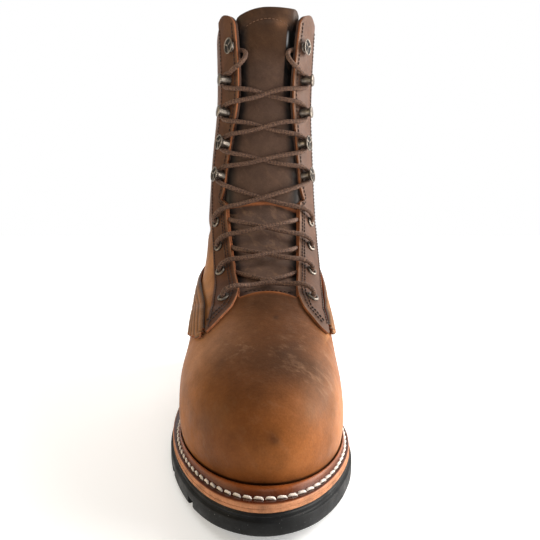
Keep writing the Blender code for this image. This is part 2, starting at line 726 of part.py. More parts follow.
def strand_route(start_angle, start_row, end_angle, end_row, rise):
    """Points of a strand over the throat, bowed upwards by rise rings."""
    share = np.linspace(0, 1, LACE_POINTS)
    degrees = start_angle + (end_angle - start_angle) * share
    row = start_row + (end_row - start_row) * share + rise * (1 - (2 * share - 1) ** 4)
    return lifted(tongue_face, degrees, row, lace_height(degrees, row))


def cord(name, route, look, collection):
    curve = bpy.data.curves.new(name, "CURVE")
    curve.dimensions = "3D"
    curve.bevel_depth = LACE_RADIUS
    curve.bevel_resolution = LACE_BEVEL_STEPS
    curve.use_fill_caps = True
    line = curve.splines.new("POLY")
    line.points.add(len(route) - 1)
    for point, place in zip(line.points, route):
        point.co = (*place, 1)
    return add_object(name, curve, look, collection)


def tube(name, route, look, collection):
    """A closed mesh tube along a route."""
    curve = cord(name + "_line", route, None, collection)
    ready = curve.evaluated_get(bpy.context.evaluated_depsgraph_get())
    mesh = bpy.data.meshes.new_from_object(ready)
    mesh.name = name
    shape = bmesh.new()
    shape.from_mesh(mesh)
    bmesh.ops.remove_doubles(shape, verts=shape.verts, dist=WELD)
    bmesh.ops.recalc_face_normals(shape, faces=shape.faces)
    shape.to_mesh(mesh)
    shape.free()
    bpy.data.objects.remove(curve)
    return add_object(name, mesh, look, collection)


def crossing(name, lower, upper, parts, cutters):
    """Two strands joined where they cross. lower and upper are (row, lateral, medial) where they end."""
    low_row, low_lateral, low_medial = lower
    high_row, high_lateral, high_medial = upper
    rising = strand_route(-low_lateral, low_row, high_medial, high_row, 0)
    falling = strand_route(-high_lateral, high_row, low_medial, low_row, 0)
    made = tube(name, rising, LACE_CORD, parts)
    other = tube(name + "_other", falling, None, cutters)
    other.hide_render = True
    other.display_type = "WIRE"
    join = made.modifiers.new("join", "BOOLEAN")
    join.operation = "UNION"
    join.solver = "EXACT"
    join.object = other


def beside(stop, turn):
    """Where a strand ends short of an eyelet or hook, turn rings above it."""
    row, lateral, medial = stop[:3]
    return row + turn, lateral - LACE_END_DEGREES, medial - LACE_END_DEGREES


def build_lace(parts, cutters):
    row, lateral, medial = beside(EYELETS[0], 0)
    route = strand_route(-lateral, row, medial, row, LACE_BAR_RISE)
    tube("lace_bar", route, LACE_CORD, parts)
    for i, eyelet in enumerate(EYELETS[1:-1], start=1):
        dive = (eyelet[0] + LACE_DIVE_ROWS, LACE_DIVE_ANGLE, LACE_DIVE_ANGLE)
        crossing(f"lace_crossing_{i}", beside(eyelet, 0), dive, parts, cutters)
    stops = [EYELETS[-1], *HOOKS[:-1]]
    for i, (stop, after) in enumerate(zip(stops[:-1], stops[1:]), start=len(EYELETS) - 1):
        turn = 0 if stop is EYELETS[-1] else LACE_TURN_ROWS
        crossing(f"lace_crossing_{i}", beside(stop, turn), beside(after, -LACE_TURN_ROWS), parts, cutters)


def build_lace_ends(parts):
    degrees, row, height = np.array(LACE_END_ROUTE).T
    cord("lace_end_lateral", lifted(tongue_face, -degrees, row, height), LACE_CORD, parts)
    cord("lace_end_medial", lifted(tongue_face, degrees, row, height), LACE_CORD, parts)


def main():
    for old in list(bpy.data.objects):
        bpy.data.objects.remove(old)
    parts = bpy.data.collections.new("work_boot")
    cutters = bpy.data.collections.new("cutters")
    bpy.context.scene.collection.children.link(parts)
    bpy.context.scene.collection.children.link(cutters)
    build_outsole(parts, cutters)
    build_heel(parts, cutters)
    build_midsole(parts)
    build_welt(parts)
    build_insole(parts)
    build_upper(parts)
    build_facings(parts)
    build_foxing(parts)
    build_tongue(parts)
    build_eyelets(parts)
    build_hooks(parts)
    build_lace(parts, cutters)
    build_lace_ends(parts)


main()
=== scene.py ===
"""Looks of the right work boot: leather panels, seams, metal, lace and sole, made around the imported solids.

Metres, +Z up, in the frame of the solids: the toe points to -Y and the medial side to +X. Places on the
upper are pattern coordinates: an angle from the toe, + to the medial side, and a ring from welt to collar.
"""

import bmesh
import bpy
import numpy as np
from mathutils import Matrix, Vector


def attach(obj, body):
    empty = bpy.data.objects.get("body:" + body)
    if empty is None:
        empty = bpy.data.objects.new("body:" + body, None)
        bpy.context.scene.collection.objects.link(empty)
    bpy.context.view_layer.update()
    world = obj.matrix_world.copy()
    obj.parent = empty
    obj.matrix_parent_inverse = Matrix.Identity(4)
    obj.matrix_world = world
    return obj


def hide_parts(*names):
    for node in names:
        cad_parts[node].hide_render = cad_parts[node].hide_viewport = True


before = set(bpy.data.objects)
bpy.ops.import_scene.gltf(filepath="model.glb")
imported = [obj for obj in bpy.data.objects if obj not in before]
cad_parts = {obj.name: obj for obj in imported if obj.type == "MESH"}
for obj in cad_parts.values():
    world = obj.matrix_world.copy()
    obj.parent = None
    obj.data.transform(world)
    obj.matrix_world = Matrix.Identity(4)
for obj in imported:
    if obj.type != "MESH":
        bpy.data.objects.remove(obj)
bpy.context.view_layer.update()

# Camera, from the photograph
CAMERA_PLACE = (0.00854, -0.353, 0.158)
CAMERA_DOWN_DEGREES = 6.79
CAMERA_FOCAL_PIXELS = 466.0
FRAME_PIXELS = 540.0
SENSOR_MM = 36.0

# The boot's two sides, by the sign of X
SIDES = {-1: "lateral", 1: "medial"}

# Main sizes, as in the part's source
SOLE_LENGTH = 0.302
HEEL_Y = SOLE_LENGTH / 2
MIDDLE_X = -0.001535
GAP = 0.0003
UPPER_WALL = 0.0024
MIDSOLE_THICK = 0.0019
FACING_THICK = 0.0016
TONGUE_THICK = 0.003
LACE_RADIUS = 0.00175

# Height of the midsole's top and of the outsole's underside along the foot
SEAT_S = (0.0, 0.04, 0.08, 0.11, 0.15, 0.19, 0.225, 0.26, 0.285, 0.302)
SEAT_Z = (0.036, 0.0352, 0.031, 0.0245, 0.017, 0.014, 0.014, 0.0157, 0.0184, 0.0215)
TREAD_S = (0.0, 0.085, 0.1, 0.125, 0.142, 0.15, 0.232, 0.26, 0.285, 0.302)
TREAD_Z = (0.026, 0.0203, 0.0172, 0.008, 0.0015, 0.0, 0.0, 0.0015, 0.0046, 0.0085)

# Where along a ring its fullness is given: 0 at the back, 1 at the front
LATERAL_STATIONS = (0.0, 0.16, 0.42, 0.66, 1.0)
MEDIAL_STATIONS = (0.0, 0.16, 0.42, 0.72, 1.0)
#            front_s back_s front_x back_x  back    heel  waist_l waist_m ball_l  ball_m  toe
SOLE_PLAN = (0.302, 0.0, 0.004, 0.001, 0.072, 0.0515, 0.0575, 0.0385, 0.0655, 0.0605, 0.0585)
# Rings of the upper's outer face, from the welt to the collar
# front_s front_z back_s back_z front_x back_x  back   heel waist_l waist_m ball_l ball_m  toe
UPPER_RINGS = (
    (0.2840, 0.0186, 0.010, 0.0361, 0.0050, 0.0015, 0.065, 0.0465, 0.0400, 0.0345, 0.0575, 0.0540, 0.0590),
    (0.2895, 0.0310, 0.005, 0.0470, 0.0050, 0.0015, 0.066, 0.0510, 0.0440, 0.0395, 0.0597, 0.0553, 0.0635),
    (0.2910, 0.0440, 0.003, 0.0580, 0.0050, 0.0015, 0.066, 0.0530, 0.0470, 0.0430, 0.0601, 0.0553, 0.0650),
    (0.2870, 0.0565, 0.004, 0.0690, 0.0050, 0.0015, 0.065, 0.0530, 0.0480, 0.0445, 0.0592, 0.0537, 0.0645),
    (0.2770, 0.0670, 0.007, 0.0790, 0.0052, 0.0015, 0.062, 0.0525, 0.0480, 0.0445, 0.0567, 0.0511, 0.0625),
    (0.2595, 0.0765, 0.010, 0.0880, 0.0054, 0.0015, 0.059, 0.0510, 0.0480, 0.0440, 0.0555, 0.0497, 0.0600),
    (0.2380, 0.0855, 0.013, 0.0960, 0.0058, 0.0015, 0.056, 0.0500, 0.0480, 0.0437, 0.0550, 0.0483, 0.0585),
    (0.2130, 0.0950, 0.015, 0.1040, 0.0060, 0.0015, 0.053, 0.0490, 0.0480, 0.0433, 0.0555, 0.0470, 0.0575),
    (0.1880, 0.1060, 0.017, 0.1130, 0.0058, 0.0015, 0.050, 0.0480, 0.0480, 0.0432, 0.0545, 0.0474, 0.0570),
    (0.1640, 0.1250, 0.019, 0.1300, 0.0040, 0.0015, 0.047, 0.0465, 0.0475, 0.0435, 0.0515, 0.0472, 0.0545),
    (0.1475, 0.1500, 0.019, 0.1520, 0.0024, 0.0018, 0.045, 0.0455, 0.0475, 0.0440, 0.0500, 0.0457, 0.0500),
    (0.1370, 0.1800, 0.017, 0.1800, 0.0015, 0.0020, 0.044, 0.0445, 0.0465, 0.0435, 0.0480, 0.0440, 0.0470),
    (0.1310, 0.2150, 0.013, 0.2120, 0.0022, 0.0022, 0.043, 0.0435, 0.0450, 0.0422, 0.0462, 0.0427, 0.0450),
    (0.1290, 0.2580, 0.009, 0.2450, 0.0040, 0.0025, 0.042, 0.0425, 0.0432, 0.0408, 0.0435, 0.0412, 0.0440),
    (0.1300, 0.3180, 0.007, 0.2790, 0.0055, 0.0028, 0.042, 0.0430, 0.0440, 0.0418, 0.0440, 0.0418, 0.0440),
)
THROAT_ROW = 8
COLLAR_ROW = len(UPPER_RINGS) - 1
SEAT_FADE_ROWS = 6
THROAT_ANGLE = 22.5
THROAT_ROWS = (8, 9, 10, 11, 12, 13, 14)
THROAT_HALF = (0.0205, 0.0245, 0.0275, 0.029, 0.0255, 0.021, 0.0255)
COLLAR_BEND_ROW = 13
COLLAR_DROP_ANGLE = (22.5, 24.0, 27.0, 31.0, 37.5)
COLLAR_DROP = (0.15, 0.09, 0.035, 0.01, 0.0)
# How far the collar stands higher beside the throat, with the share of it by angle
COLLAR_RISE = 0.007
COLLAR_RISE_ANGLE = (26.0, 46.0, 75.0, 130.0)
COLLAR_RISE_SHARE = (0.0, 1.0, 0.7, 0.0)

# Facings along the throat: ring, angle of the front edge and of the back edge
FACING_LATERAL = (
    (5.7, 41.5, 43.0),
    (6.5, 33.0, 42.5),
    (7.25, 25.5, 42.5),
    (8.0, 22.5, 43.0),
    (9.0, 22.5, 44.2),
    (10.0, 22.5, 45.6),
    (11.0, 22.5, 46.8),
    (12.0, 22.5, 48.0),
    (13.0, 22.5, 49.5),
    (14.0, 22.5, 51.0),
)
FACING_MEDIAL = (
    (5.5, 46.5, 48.5),
    (6.0, 38.8, 49.0),
    (6.5, 33.0, 49.5),
    (7.25, 25.5, 50.0),
    (8.0, 22.5, 51.0),
    (9.0, 22.5, 54.0),
    (10.0, 22.5, 55.5),
    (12.0, 22.5, 55.5),
    (13.0, 22.5, 55.0),
    (14.0, 22.5, 55.0),
)
FACINGS = {-1: FACING_LATERAL, 1: FACING_MEDIAL}
# The step in the throat's edge where the shaft's facing meets the lower one
NOTCH_ROW = 10.62
NOTCH_RISE_ROWS = 0.07
NOTCH_FADE_ROWS = 0.65
NOTCH_DEGREES = {-1: 7.5, 1: 8.0}

# Heel foxing: angle from the front, ring of its lower edge and of its upper edge
FOXING_ANGLE = (45.0, 52.5, 60.0, 67.5, 75.0, 82.5, 90.0, 105.0, 135.0, 180.0)
FOXING_LOW = (5.35, 5.12, 4.98, 4.8, 4.45, 3.85, 3.1, 1.5, 0.8, 0.8)
FOXING_HIGH = (5.7, 7.0, 7.45, 7.75, 8.0, 8.2, 8.35, 8.6, 8.9, 9.1)
FOXING_MEDIAL_SHIFT = 6.5
FOXING_LIFT = 0.0006

# Tongue
TONGUE_ANGLE = 33.0
TONGUE_DEPTH_ROWS = (8, 11, 12, 13, 14)
TONGUE_DEPTH = (0.0029, 0.0029, 0.0036, 0.0068, 0.0072)
TONGUE_FLAT_ROWS = (8, 8.5, 10, 14)
TONGUE_FLAT = (0.0, 0.15, 0.5, 0.5)
TONGUE_TOP_ANGLE = (-33.0, -26.0, 26.0, 33.0)
TONGUE_TOP_DROP = (0.08, 0.0, 0.0, 0.06)
TONGUE_LOW_ROW = 7.25

# Eyelets, from the bottom: ring, angle on the lateral side, angle on the medial side
EYELETS = ((7.45, 33.0, 35.5), (8.51, 35.5, 36.5), (9.31, 35.5, 37.5), (10.04, 37.0, 39.5))
# Hooks, from the bottom: ring, lateral and medial angle, and height as a share of the profile's
HOOKS = (
    (11.26, 26.5, 28.5, 1.0),
    (11.98, 26.5, 27.5, 1.0),
    (12.62, 33.5, 33.0, 1.0),
    (13.15, 34.5, 34.5, 1.0),
    (13.59, 28.5, 32.0, 0.42),
)
METAL_LIFT = 2 * GAP + FACING_THICK

# Lace
LACE_LOW = 0.0023
LACE_CLEAR = 0.002
LACE_STEP = 0.0006
LACE_SIDES = 14
LACE_SMOOTHING = 40
LACE_BAR_RISE = 0.8
LACE_HOOK_HEIGHT = 0.0028
LACE_HOOK_RADIUS = 0.005
# Free lace ends: angle, ring and height above the tongue's face
LACE_END_ROUTE = (
    (29.0, 13.22, 0.012),
    (26.5, 13.235, 0.0125),
    (24.0, 13.255, 0.0128),
    (21.6, 13.285, 0.0128),
    (19.4, 13.325, 0.0121),
    (17.8, 13.37, 0.0104),
    (17.2, 13.42, 0.0083),
    (17.8, 13.465, 0.0062),
    (19.6, 13.505, 0.0043),
    (22.2, 13.535, 0.0027),
    (25.4, 13.555, 0.0023),
    (29.0, 13.57, 0.0023),
)

# Colours in display values, set by comparing renders with the photograph
BROWN = (84, 54, 36)
# The facings' brown by side: the medial one paler and greyer as a painted sheen from the light on that side
FACING_BROWN_SHEEN_BY_SIDE = {-1: (80, 49, 31), 1: (86, 60, 46)}
VAMP_BROWN = (110, 61, 25)
# Painted shade over the top of the vamp
VAMP_TOP_SHADE = (66, 43, 30)
# Painted shade in the crease where the upper meets the welt
CREASE_SHADE_BROWN = (46, 25, 16)
# Golden tan of the lateral flank and toe: a painted warm reflection
FLANK_REFLECTION_TAN = (150, 88, 20)
QUARTER_TAN = (174, 121, 76)
FOXING_BROWN = (146, 99, 58)
# Painted shade in the grooves between the foxing's ridges
RIDGE_GROOVE_SHADE = (26, 16, 11)
TONGUE_BROWN = (82, 62, 51)
# Darker brown towards the tongue's top: below its arched seam this is painted shade
TONGUE_TOP_SHADE_BROWN = (70, 48, 33)
TONGUE_LOW_BROWN = (104, 82, 71)
# Painted sheen on the tongue's top piece
TONGUE_SHEEN_BROWN = (128, 90, 64)
# Painted shade along the tongue's sides, under the facings
TONGUE_SIDE_SHADE = (34, 29, 27)
RAW_EDGE = (152, 88, 48)
DARK_EDGE = (72, 46, 33)
WORN = (160, 122, 94)
TAN_EDGE = (190, 128, 88)
RUBBER_BLACK = (13, 14, 15)
RUBBER_DUST = (34, 38, 42)
RUBBER_SPECK = (150, 150, 148)
LINING_BLACK = (26, 26, 27)
LINING_GREY = (58, 57, 56)
# The black lining in the gap beside the tongue's top, darkened further as painted shade
GAP_LINING_IN_SHADE = (12, 12, 13)
GAP_PATCH_WHITE = (215, 218, 222)
BOARD_TAN = (150, 128, 100)
STITCH_DARK = (50, 32, 24)
STITCH_BROWN = (112, 80, 58)
STITCH_CREAM = (250, 238, 228)
# The lace's paint: painted shade between its strands and a painted highlight on their crowns
LACE_GROOVE_SHADE = (44, 30, 23)
LACE_CROWN_HIGHLIGHT = (100, 70, 54)
LACE_FLECK = (158, 120, 94)
NICKEL = (136, 127, 118)
NICKEL_STAIN = (78, 70, 63)
# Painted shade inside eyelets and hook heads
HOLE_SHADE_BLACK = (12, 11, 10)
HOLE_SHADE_BROWN = (24, 21, 19)

# Finish of leather
LEATHER_SPECULAR = 0.16
NO_TINT = (1.0, 1.0, 1.0)
VAMP_SHEEN = (1.0, 0.7, 0.42)
SCRATCH_TURN = (0.0, 0.85, 0.0)
SCRATCH_STRETCH = (3.6, 1.0, 1.0)
STAINED_SHARE = 0.6

# Fineness of meshes, and rounding of edges
UPPER_STEP = 1.5
UPPER_LOW_ROWS = 100
UPPER_HIGH_ROWS = 66
FACING_GRID = (230, 33)
TONGUE_GRID = (260, 90)
SOLE_STEP = 1.5
SEAM_POINTS = 60
TURN_STEP = 0.5
UP_STEP_ROWS = 0.05
SMALL = 1e-9
SHEET_EDGE_DEGREES = 50.0
UPPER_EDGE_ROUND = 0.0004
FACING_EDGE_ROUND = 0.00035
TONGUE_EDGE_ROUND = 0.0005
RUBBER_EDGE_DEGREES = 45.0
RUBBER_EDGE_ROUND = 0.0003
RUBBER_SMOOTH_DEGREES = 40.0

# Soft troughs, pressed into the leather: ends as angle and ring, depth and half width
CREASES = (
    ((-62.0, 6.5), (-30.0, 7.2), 0.0007, 0.0035),
    ((60.0, 6.4), (33.0, 7.0), 0.0007, 0.0035),
    ((-100.0, 9.4), (-60.0, 9.9), 0.0016, 0.006),
    ((100.0, 9.3), (62.0, 9.9), 0.0016, 0.006),
    ((-140.0, 10.2), (-80.0, 10.8), 0.0013, 0.006),
    ((140.0, 10.2), (84.0, 10.9), 0.0013, 0.006),
    ((150.0, 11.3), (205.0, 11.2), 0.0012, 0.007),
)

# Where the upper's colours begin and where they are full, as rings or as angles from the toe
VAMP_ROWS = (8.6, 7.0)
# Painted shade over the vamp's top: rings and angles where it begins and is full, and its strength
VAMP_SHADE_ROWS = (3.9, 5.5)
VAMP_SHADE_DEGREES = (54.0, 32.0)
VAMP_SHADE_STRENGTH = 0.6
QUARTER_DEGREES = (40.0, 48.0)
QUARTER_BACK_DEGREES = (125.0, 75.0)
QUARTER_BACK_LEAST = 0.35
QUARTER_ROWS = (10.5, 8.0)
QUARTER_LOW_ROW = 5.2
QUARTER_STRENGTH = 0.8
# Painted shade along the welt's crease: rings where it begins and is full, and its strength
CREASE_SHADE_ROWS = (0.64, 0.54)
CREASE_SHADE_STRENGTH = 0.8
UPPER_WEAR = 0.2
PLAIN_WEAR = 0.3
# Painted highlights, sheen, warm reflection and shade on the vamp, and a few small dark marks: angle, ring,
# reach, colour and strength
VAMP_SHADING_AND_MARKS = (
    # Lateral flank and toe: painted warm reflection
    (-62.0, 4.0, 0.035, FLANK_REFLECTION_TAN, 0.8),
    (-50.0, 1.8, 0.03, FLANK_REFLECTION_TAN, 0.75),
    # Medial flank and toe: painted highlights where the light from that side falls
    (58.0, 4.0, 0.03, (150, 92, 50), 0.5),
    (52.0, 1.7, 0.025, (178, 116, 72), 0.9),
    # Painted shade at the vamp's top, below the throat
    (0.0, 7.4, 0.03, (60, 42, 31), 0.4),
    # Painted grey sheen on the lateral side
    (-45.0, 4.8, 0.024, (166, 124, 98), 0.6),
    # Painted shade on the vamp's top, in its middle and to the medial side
    (0.0, 5.0, 0.024, VAMP_TOP_SHADE, 0.6),
    (23.0, 4.5, 0.022, VAMP_TOP_SHADE, 0.7),
    # Painted shade on the lateral side of the toe's middle, the dimly lit side
    (-26.0, 3.2, 0.028, (84, 48, 24), 0.6),
    (-14.0, 2.1, 0.02, (84, 48, 26), 0.6),
    # Painted highlights on the medial side of the toe's middle
    (14.0, 3.4, 0.014, (140, 84, 46), 0.4),
    (16.0, 0.9, 0.026, (150, 90, 46), 0.9),
    # Small dark marks on the toe and the vamp
    (3.4, 2.5, 0.0026, (46, 30, 23), 0.5),
    (5.2, 2.38, 0.0018, (46, 30, 23), 0.45),
    (5.0, 6.85, 0.0018, (44, 30, 24), 0.9),
)
# Places where the vamp is scuffed: angle, ring and reach
VAMP_SCUFFS = (
    (38.0, 5.2, 0.022),
    (30.0, 4.4, 0.02),
    (10.0, 5.6, 0.012),
    (46.0, 3.6, 0.02),
    (-18.0, 5.6, 0.012),
)
# Worn front edges of the facings: reach as a share of their width, and strength
FACING_WORN_REACH = 0.03
FACING_WORN = 0.5

# The vamp's top edge: arched across the throat, and skived
VAMP_ARCH_ROWS = 0.3
VAMP_ARCH_DEGREES = 21.0
VAMP_ARCH_END_DEGREES = (28.0, 23.0)
VAMP_ARCH_FADE_ROWS = (1.0, 0.6)
VAMP_EDGE_ROWS = 0.1
THROAT_REACH_DEGREES = 24.0

# Ridges along the foxing's top edge. Its columns are finer at the tips, its rows near the top
FOXING_FINE_DEGREES = 75.0
FOXING_FINE_STEP = 0.4
FOXING_STEP = 1.5
FOXING_ROWS = 110
FOXING_CROWDING = 1.6
RIDGE_COUNT = 5
RIDGE_PITCH = 0.003
RIDGE_HIGH = 0.0012
# How closely the painted shade keeps to the grooves between the ridges
RIDGE_SHADE_POWER = 0.45

# Tongue: the raw edge across its middle, the arched seam at its top, and its padding
TONGUE_SEAM_ROW = 10.55
TONGUE_SEAM_ANGLE = (-23.0, -15.0, 3.0, 23.0)
TONGUE_SEAM_ROWS = (10.47, 10.53, 10.58, 10.36)
TONGUE_STEP = 0.0014
TONGUE_STEP_ROWS = 0.03
TONGUE_ARCH_ROW = 13.87
TONGUE_ARCH_DROP = 0.00012
TONGUE_ARCH_DEEP = 0.0009
TONGUE_ARCH_WIDE_ROWS = 0.035
TONGUE_ARCH_END_DEGREES = 24.0
TONGUE_PAD = 0.0011
TONGUE_FADE_ROWS = 0.4
TONGUE_FOLD = 0.0005
TONGUE_FOLDS_BY_ROW = 9.0
TONGUE_FOLDS_BY_SIDE = 3.0
TONGUE_CORNER_LIFT = 0.0045
TONGUE_CORNER_DEGREES = 24.0
TONGUE_CORNER_ROWS = (13.5, 14.0)
# The gap beside the tongue's top, where the black lining shows in painted shade, and a small pale patch in it
TONGUE_GAP_DEGREES = (17.4, 18.2)
TONGUE_GAP_LOW_ROWS = (12.8, 13.3)
TONGUE_GAP_HIGH_ROWS = (13.84, 13.78)
TONGUE_GAP_DEEP = 0.002
GAP_PATCH_ANGLE = 19.2
GAP_PATCH_WIDE_DEGREES = 0.8
GAP_PATCH_ROW = 13.66
GAP_PATCH_REACH_ROWS = (0.105, 0.035)
# The tongue's colours: where they begin and where they are full
# Where the tongue's darker top, painted shade below its seam, begins and is full
TONGUE_TOP_SHADE_ROWS = (13.25, 13.55)
TONGUE_LOW_ROWS = (10.5, 10.3)
TONGUE_LOW_STRENGTH = 0.7
# Painted shade along the tongue's sides: angles and rings where it begins and is full, and how it fades near
# the top
SIDE_SHADE_DEGREES = (16.0, 21.0)
SIDE_SHADE_ROWS = (8.0, 8.4)
SIDE_SHADE_TOP_ROWS = (13.9, 13.78)
SIDE_SHADE_TOP_LEAST = 0.25
# Painted sheen below the tongue's arched seam: angle, width, ring, height and strength
SHEEN_ANGLE = 12.0
SHEEN_WIDE_DEGREES = 6.0
SHEEN_ROW = 13.82
SHEEN_WIDE_ROWS = 0.06
SHEEN_STRENGTH = 0.7
RAW_SEAM_LIFT_ROWS = 0.02
RAW_SEAM_ROWS = (0.048, 0.008)
TONGUE_WEAR_LOW = 0.9
TONGUE_WEAR_HIGH = 0.2

# Section of the welt: share of the way from the upper to the edge, height above the midsole, colour
WELT_PROFILE = (
    (1.0, 0.0001, TAN_EDGE),
    (1.008, 0.0012, TAN_EDGE),
    (0.995, 0.0021, TAN_EDGE),
    (0.955, 0.0025, (112, 58, 32)),
    # The welt's dark mahogany strip, darkest in the stitch groove as painted shade
    (0.9, 0.0026, (70, 32, 18)),
    (0.78, 0.0025, (66, 30, 16)),
    (0.66, 0.0021, (60, 28, 15)),
    (0.56, 0.0023, (66, 30, 16)),
    # The rib, lighter towards its crown: a painted highlight
    (0.5, 0.0032, (84, 40, 22)),
    (0.42, 0.0047, (108, 56, 30)),
    (0.32, 0.006, (134, 72, 34)),
    (0.21, 0.0066, (136, 74, 36)),
    (0.11, 0.0066, (104, 54, 28)),
    # Painted shade in the crease against the upper
    (0.03, 0.006, (60, 30, 17)),
    (-0.01, 0.0048, (30, 16, 10)),
)
WELT_EDGE_BANDS = 2
WELT_CLEAR = 0.00045
WELT_INSET = 0.0003
WELT_TOP_ROW = 0.55
WELT_RIB_SHARE = 0.53
WELT_RIB_FRONT_SHARE = 0.45
WELT_RIB_NARROWER = 0.5
WELT_STITCH_SHARE = 0.6
WELT_STITCH_RISE = 0.0024
WELT_STITCH_PITCH = 0.0058
WELT_STITCH_RADIUS = 0.0008
WELT_STITCH_LONG = 0.9
WELT_STITCH_SLANT = 0.13

# Edge of the midsole: outwards from the sole's plan, and above the seat
MIDSOLE_EDGE = ((-0.0004, -MIDSOLE_THICK), (0.0, 0.0004 - MIDSOLE_THICK), (0.0, -0.0002), (-0.0002, 0.0))
# Outsole edge: outwards from the sole's plan, and above the tread or below the top
TREAD_EDGE = ((0.0004, 0.0), (0.0012, 0.0005), (0.0015, 0.0014))
SIDE_EDGE = ((0.0014, 0.0042), (0.0012, 0.0036), (0.0004, 0.0034), (-0.0002, 0.003), (-0.0003, 0.0018),
             (0.0001, 0.0014), (0.0001, 0.0009), (-0.0004, 0.0005), (-0.0005, 0.0))
SIDE_LEAST = 0.0016
GROOVE_WIDE = 0.0065
GROOVE_DEEP = 0.0045
GROOVE_LONG = 0.024
GROOVE_ANGLES = (-88.0, -72.0, -56.0, -38.0, 64.0, 78.0, 92.0)
BAR_GROOVES_S = (0.163, 0.2, 0.237, 0.268)
BAR_GROOVE_LONG = 0.046
# Heel: outwards from the sole's plan, and above the floor or below the top
HEEL_LOW_EDGE = ((0.0003, 0.0), (0.001, 0.0005), (0.0013, 0.0014))
HEEL_TOP_EDGE = ((0.0011, 0.0006), (0.0006, 0.0))
HEEL_LAST_DEGREES = 120.0
HEEL_BREAST_HOLLOW = 0.004
HEEL_NOTCH_ANGLES = (128.0, 153.0)
HEEL_NOTCH_WIDE = 0.006
HEEL_NOTCH_LONG = 0.02
HEEL_NOTCH_DEEP = 0.006
# Corners of each face of a box, numbered by its low and high ends along X, Y and Z
BOX_FACES = ((0, 1, 3, 2), (4, 6, 7, 5), (0, 4, 5, 1), (2, 3, 7, 6), (0, 2, 6, 4), (1, 5, 7, 3))

# Stitches: thin threads that stand up in the middle and dip into the leather at their ends
STITCH_SIDES = 6
STITCH_RINGS = 8
STITCH_RISE = 0.4
STITCH_DIP_POWER = 5
STITCH_THINNER = 0.75
STITCH_THIN_POWER = 4
SEAM_PITCH = 0.003
SEAM_RADIUS = 0.00036
SEAM_LONG = 0.74
SEAM_FINENESS = 40
SEAM_OUT_STEP = 0.001
# Rows of stitches on the facings: degrees behind the front edge or before the back one, and rings
THROAT_SEAMS = ((3.6, 13.9), (6.2, NOTCH_ROW))
THROAT_SEAM_FIRST_ROW = 6.1
BACK_SEAM_INSET = 2.2
BACK_SEAM_ROWS = (5.9, 13.9)
# Rows of stitches on the foxing: rings below its top edge, drawn together towards its tip
FOXING_SEAM_DEGREES = (46.5, 176.0)
FOXING_SEAM_POINTS = 80
FOXING_SEAM_FIRST = 0.06
FOXING_SEAM_STEP = 0.2
FOXING_SEAM_TIP_DEGREES = (44.0, 52.0)
FOXING_SEAM_TIP_LEAST = 0.3
# Rows of stitches across the tongue
TONGUE_STITCH_DEGREES = 19.0
TONGUE_STITCH_POINTS = 30
TONGUE_EDGE_SEAM_ROWS = 0.1
GUSSET_SEAM_ROW = 8.14
GUSSET_SEAM_DROP = 0.0004

# Profiles of the metal: radius and height above the facing
EYELET_PROFILE = (
    (0.0041, -0.0002), (0.0042, 0.0003), (0.004, 0.0008), (0.0036, 0.0011), (0.0031, 0.0012),
    (0.0026, 0.001), (0.0023, 0.0005), (0.0022, -0.0002), (0.0022, -0.0022),
)
# A dark disc inside the eyelet: painted shade for its hole
EYELET_HOLE_SHADE = ((0.0024, 0.00005), (0.0001, 0.00005))
HOOK_FLARED = (
    (0.0036, -0.0003), (0.0034, 0.0004), (0.0032, 0.001), (0.0031, 0.0036), (0.0036, 0.0052),
    (0.0046, 0.0063), (0.0056, 0.007), (0.006, 0.0075), (0.0059, 0.008), (0.0055, 0.0082),
    (0.005, 0.008), (0.0049, 0.0072),
)
# A dark disc in the flared head: painted shade for its hollow
HOOK_HOLE_SHADE = ((0.005, 0.0074), (0.0001, 0.0074))
HOOK_STRAIGHT = (
    (0.0036, -0.0003), (0.0035, 0.0004), (0.0034, 0.001), (0.0033, 0.0066), (0.0035, 0.007), (0.0042, 0.0072),
    (0.0046, 0.0076), (0.0046, 0.0082), (0.0041, 0.0087), (0.003, 0.0089), (0.0014, 0.009), (0.0001, 0.009),
)
METAL_SIDES = {"eyelet": 32, "hook": 40, "hole": 24}
# Three spokes in a flared hook's head: turn, length, half width, height and half thickness
SPOKE_TURNS = (0.5, 2.6, 4.7)
SPOKE_LONG = 0.0051
SPOKE_WIDE = 0.0006
SPOKE_HEIGHT = 0.0077
SPOKE_THICK = 0.0003
# Shape of each hook from the bottom, and how far its barrel leans away from the throat
HOOK_SHAPES = (HOOK_FLARED, HOOK_FLARED, HOOK_STRAIGHT, HOOK_STRAIGHT, HOOK_FLARED)
HOOK_LEAN_DEGREES = (14.0, 14.0, 20.0, 20.0, 8.0)
HOOK_BASE_HIGH = 0.0009
HOOK_BASE_FADE = 0.0003

# Braid of the lace: strands round it, length of a turn, and height of a strand as a share of the radius
BRAID_STRANDS = 3
BRAID_TURN = 0.0052
BRAID_HIGH = 0.07
BRAID_START = (0.0, 0.3, 1.0)
# Bottom bar: where it lies over the tongue, as shares of the way across
LACE_BAR_SHARES = (0.18, 0.82)
LACE_BAR_POINTS = 7
LACE_BAR_EXTRA = 0.0012
# A strand's way out of an eyelet: inwards to the throat, up along it, and out
EYELET_STEPS = (
    (0.0, 0.0, -0.003),
    (0.0, 0.0003, 0.0),
    (0.0006, 0.0016, 0.0022),
    (0.003, 0.0034, 0.0032),
    (0.0068, 0.0048, 0.0034),
)
LACE_BAR_STEPS = 3
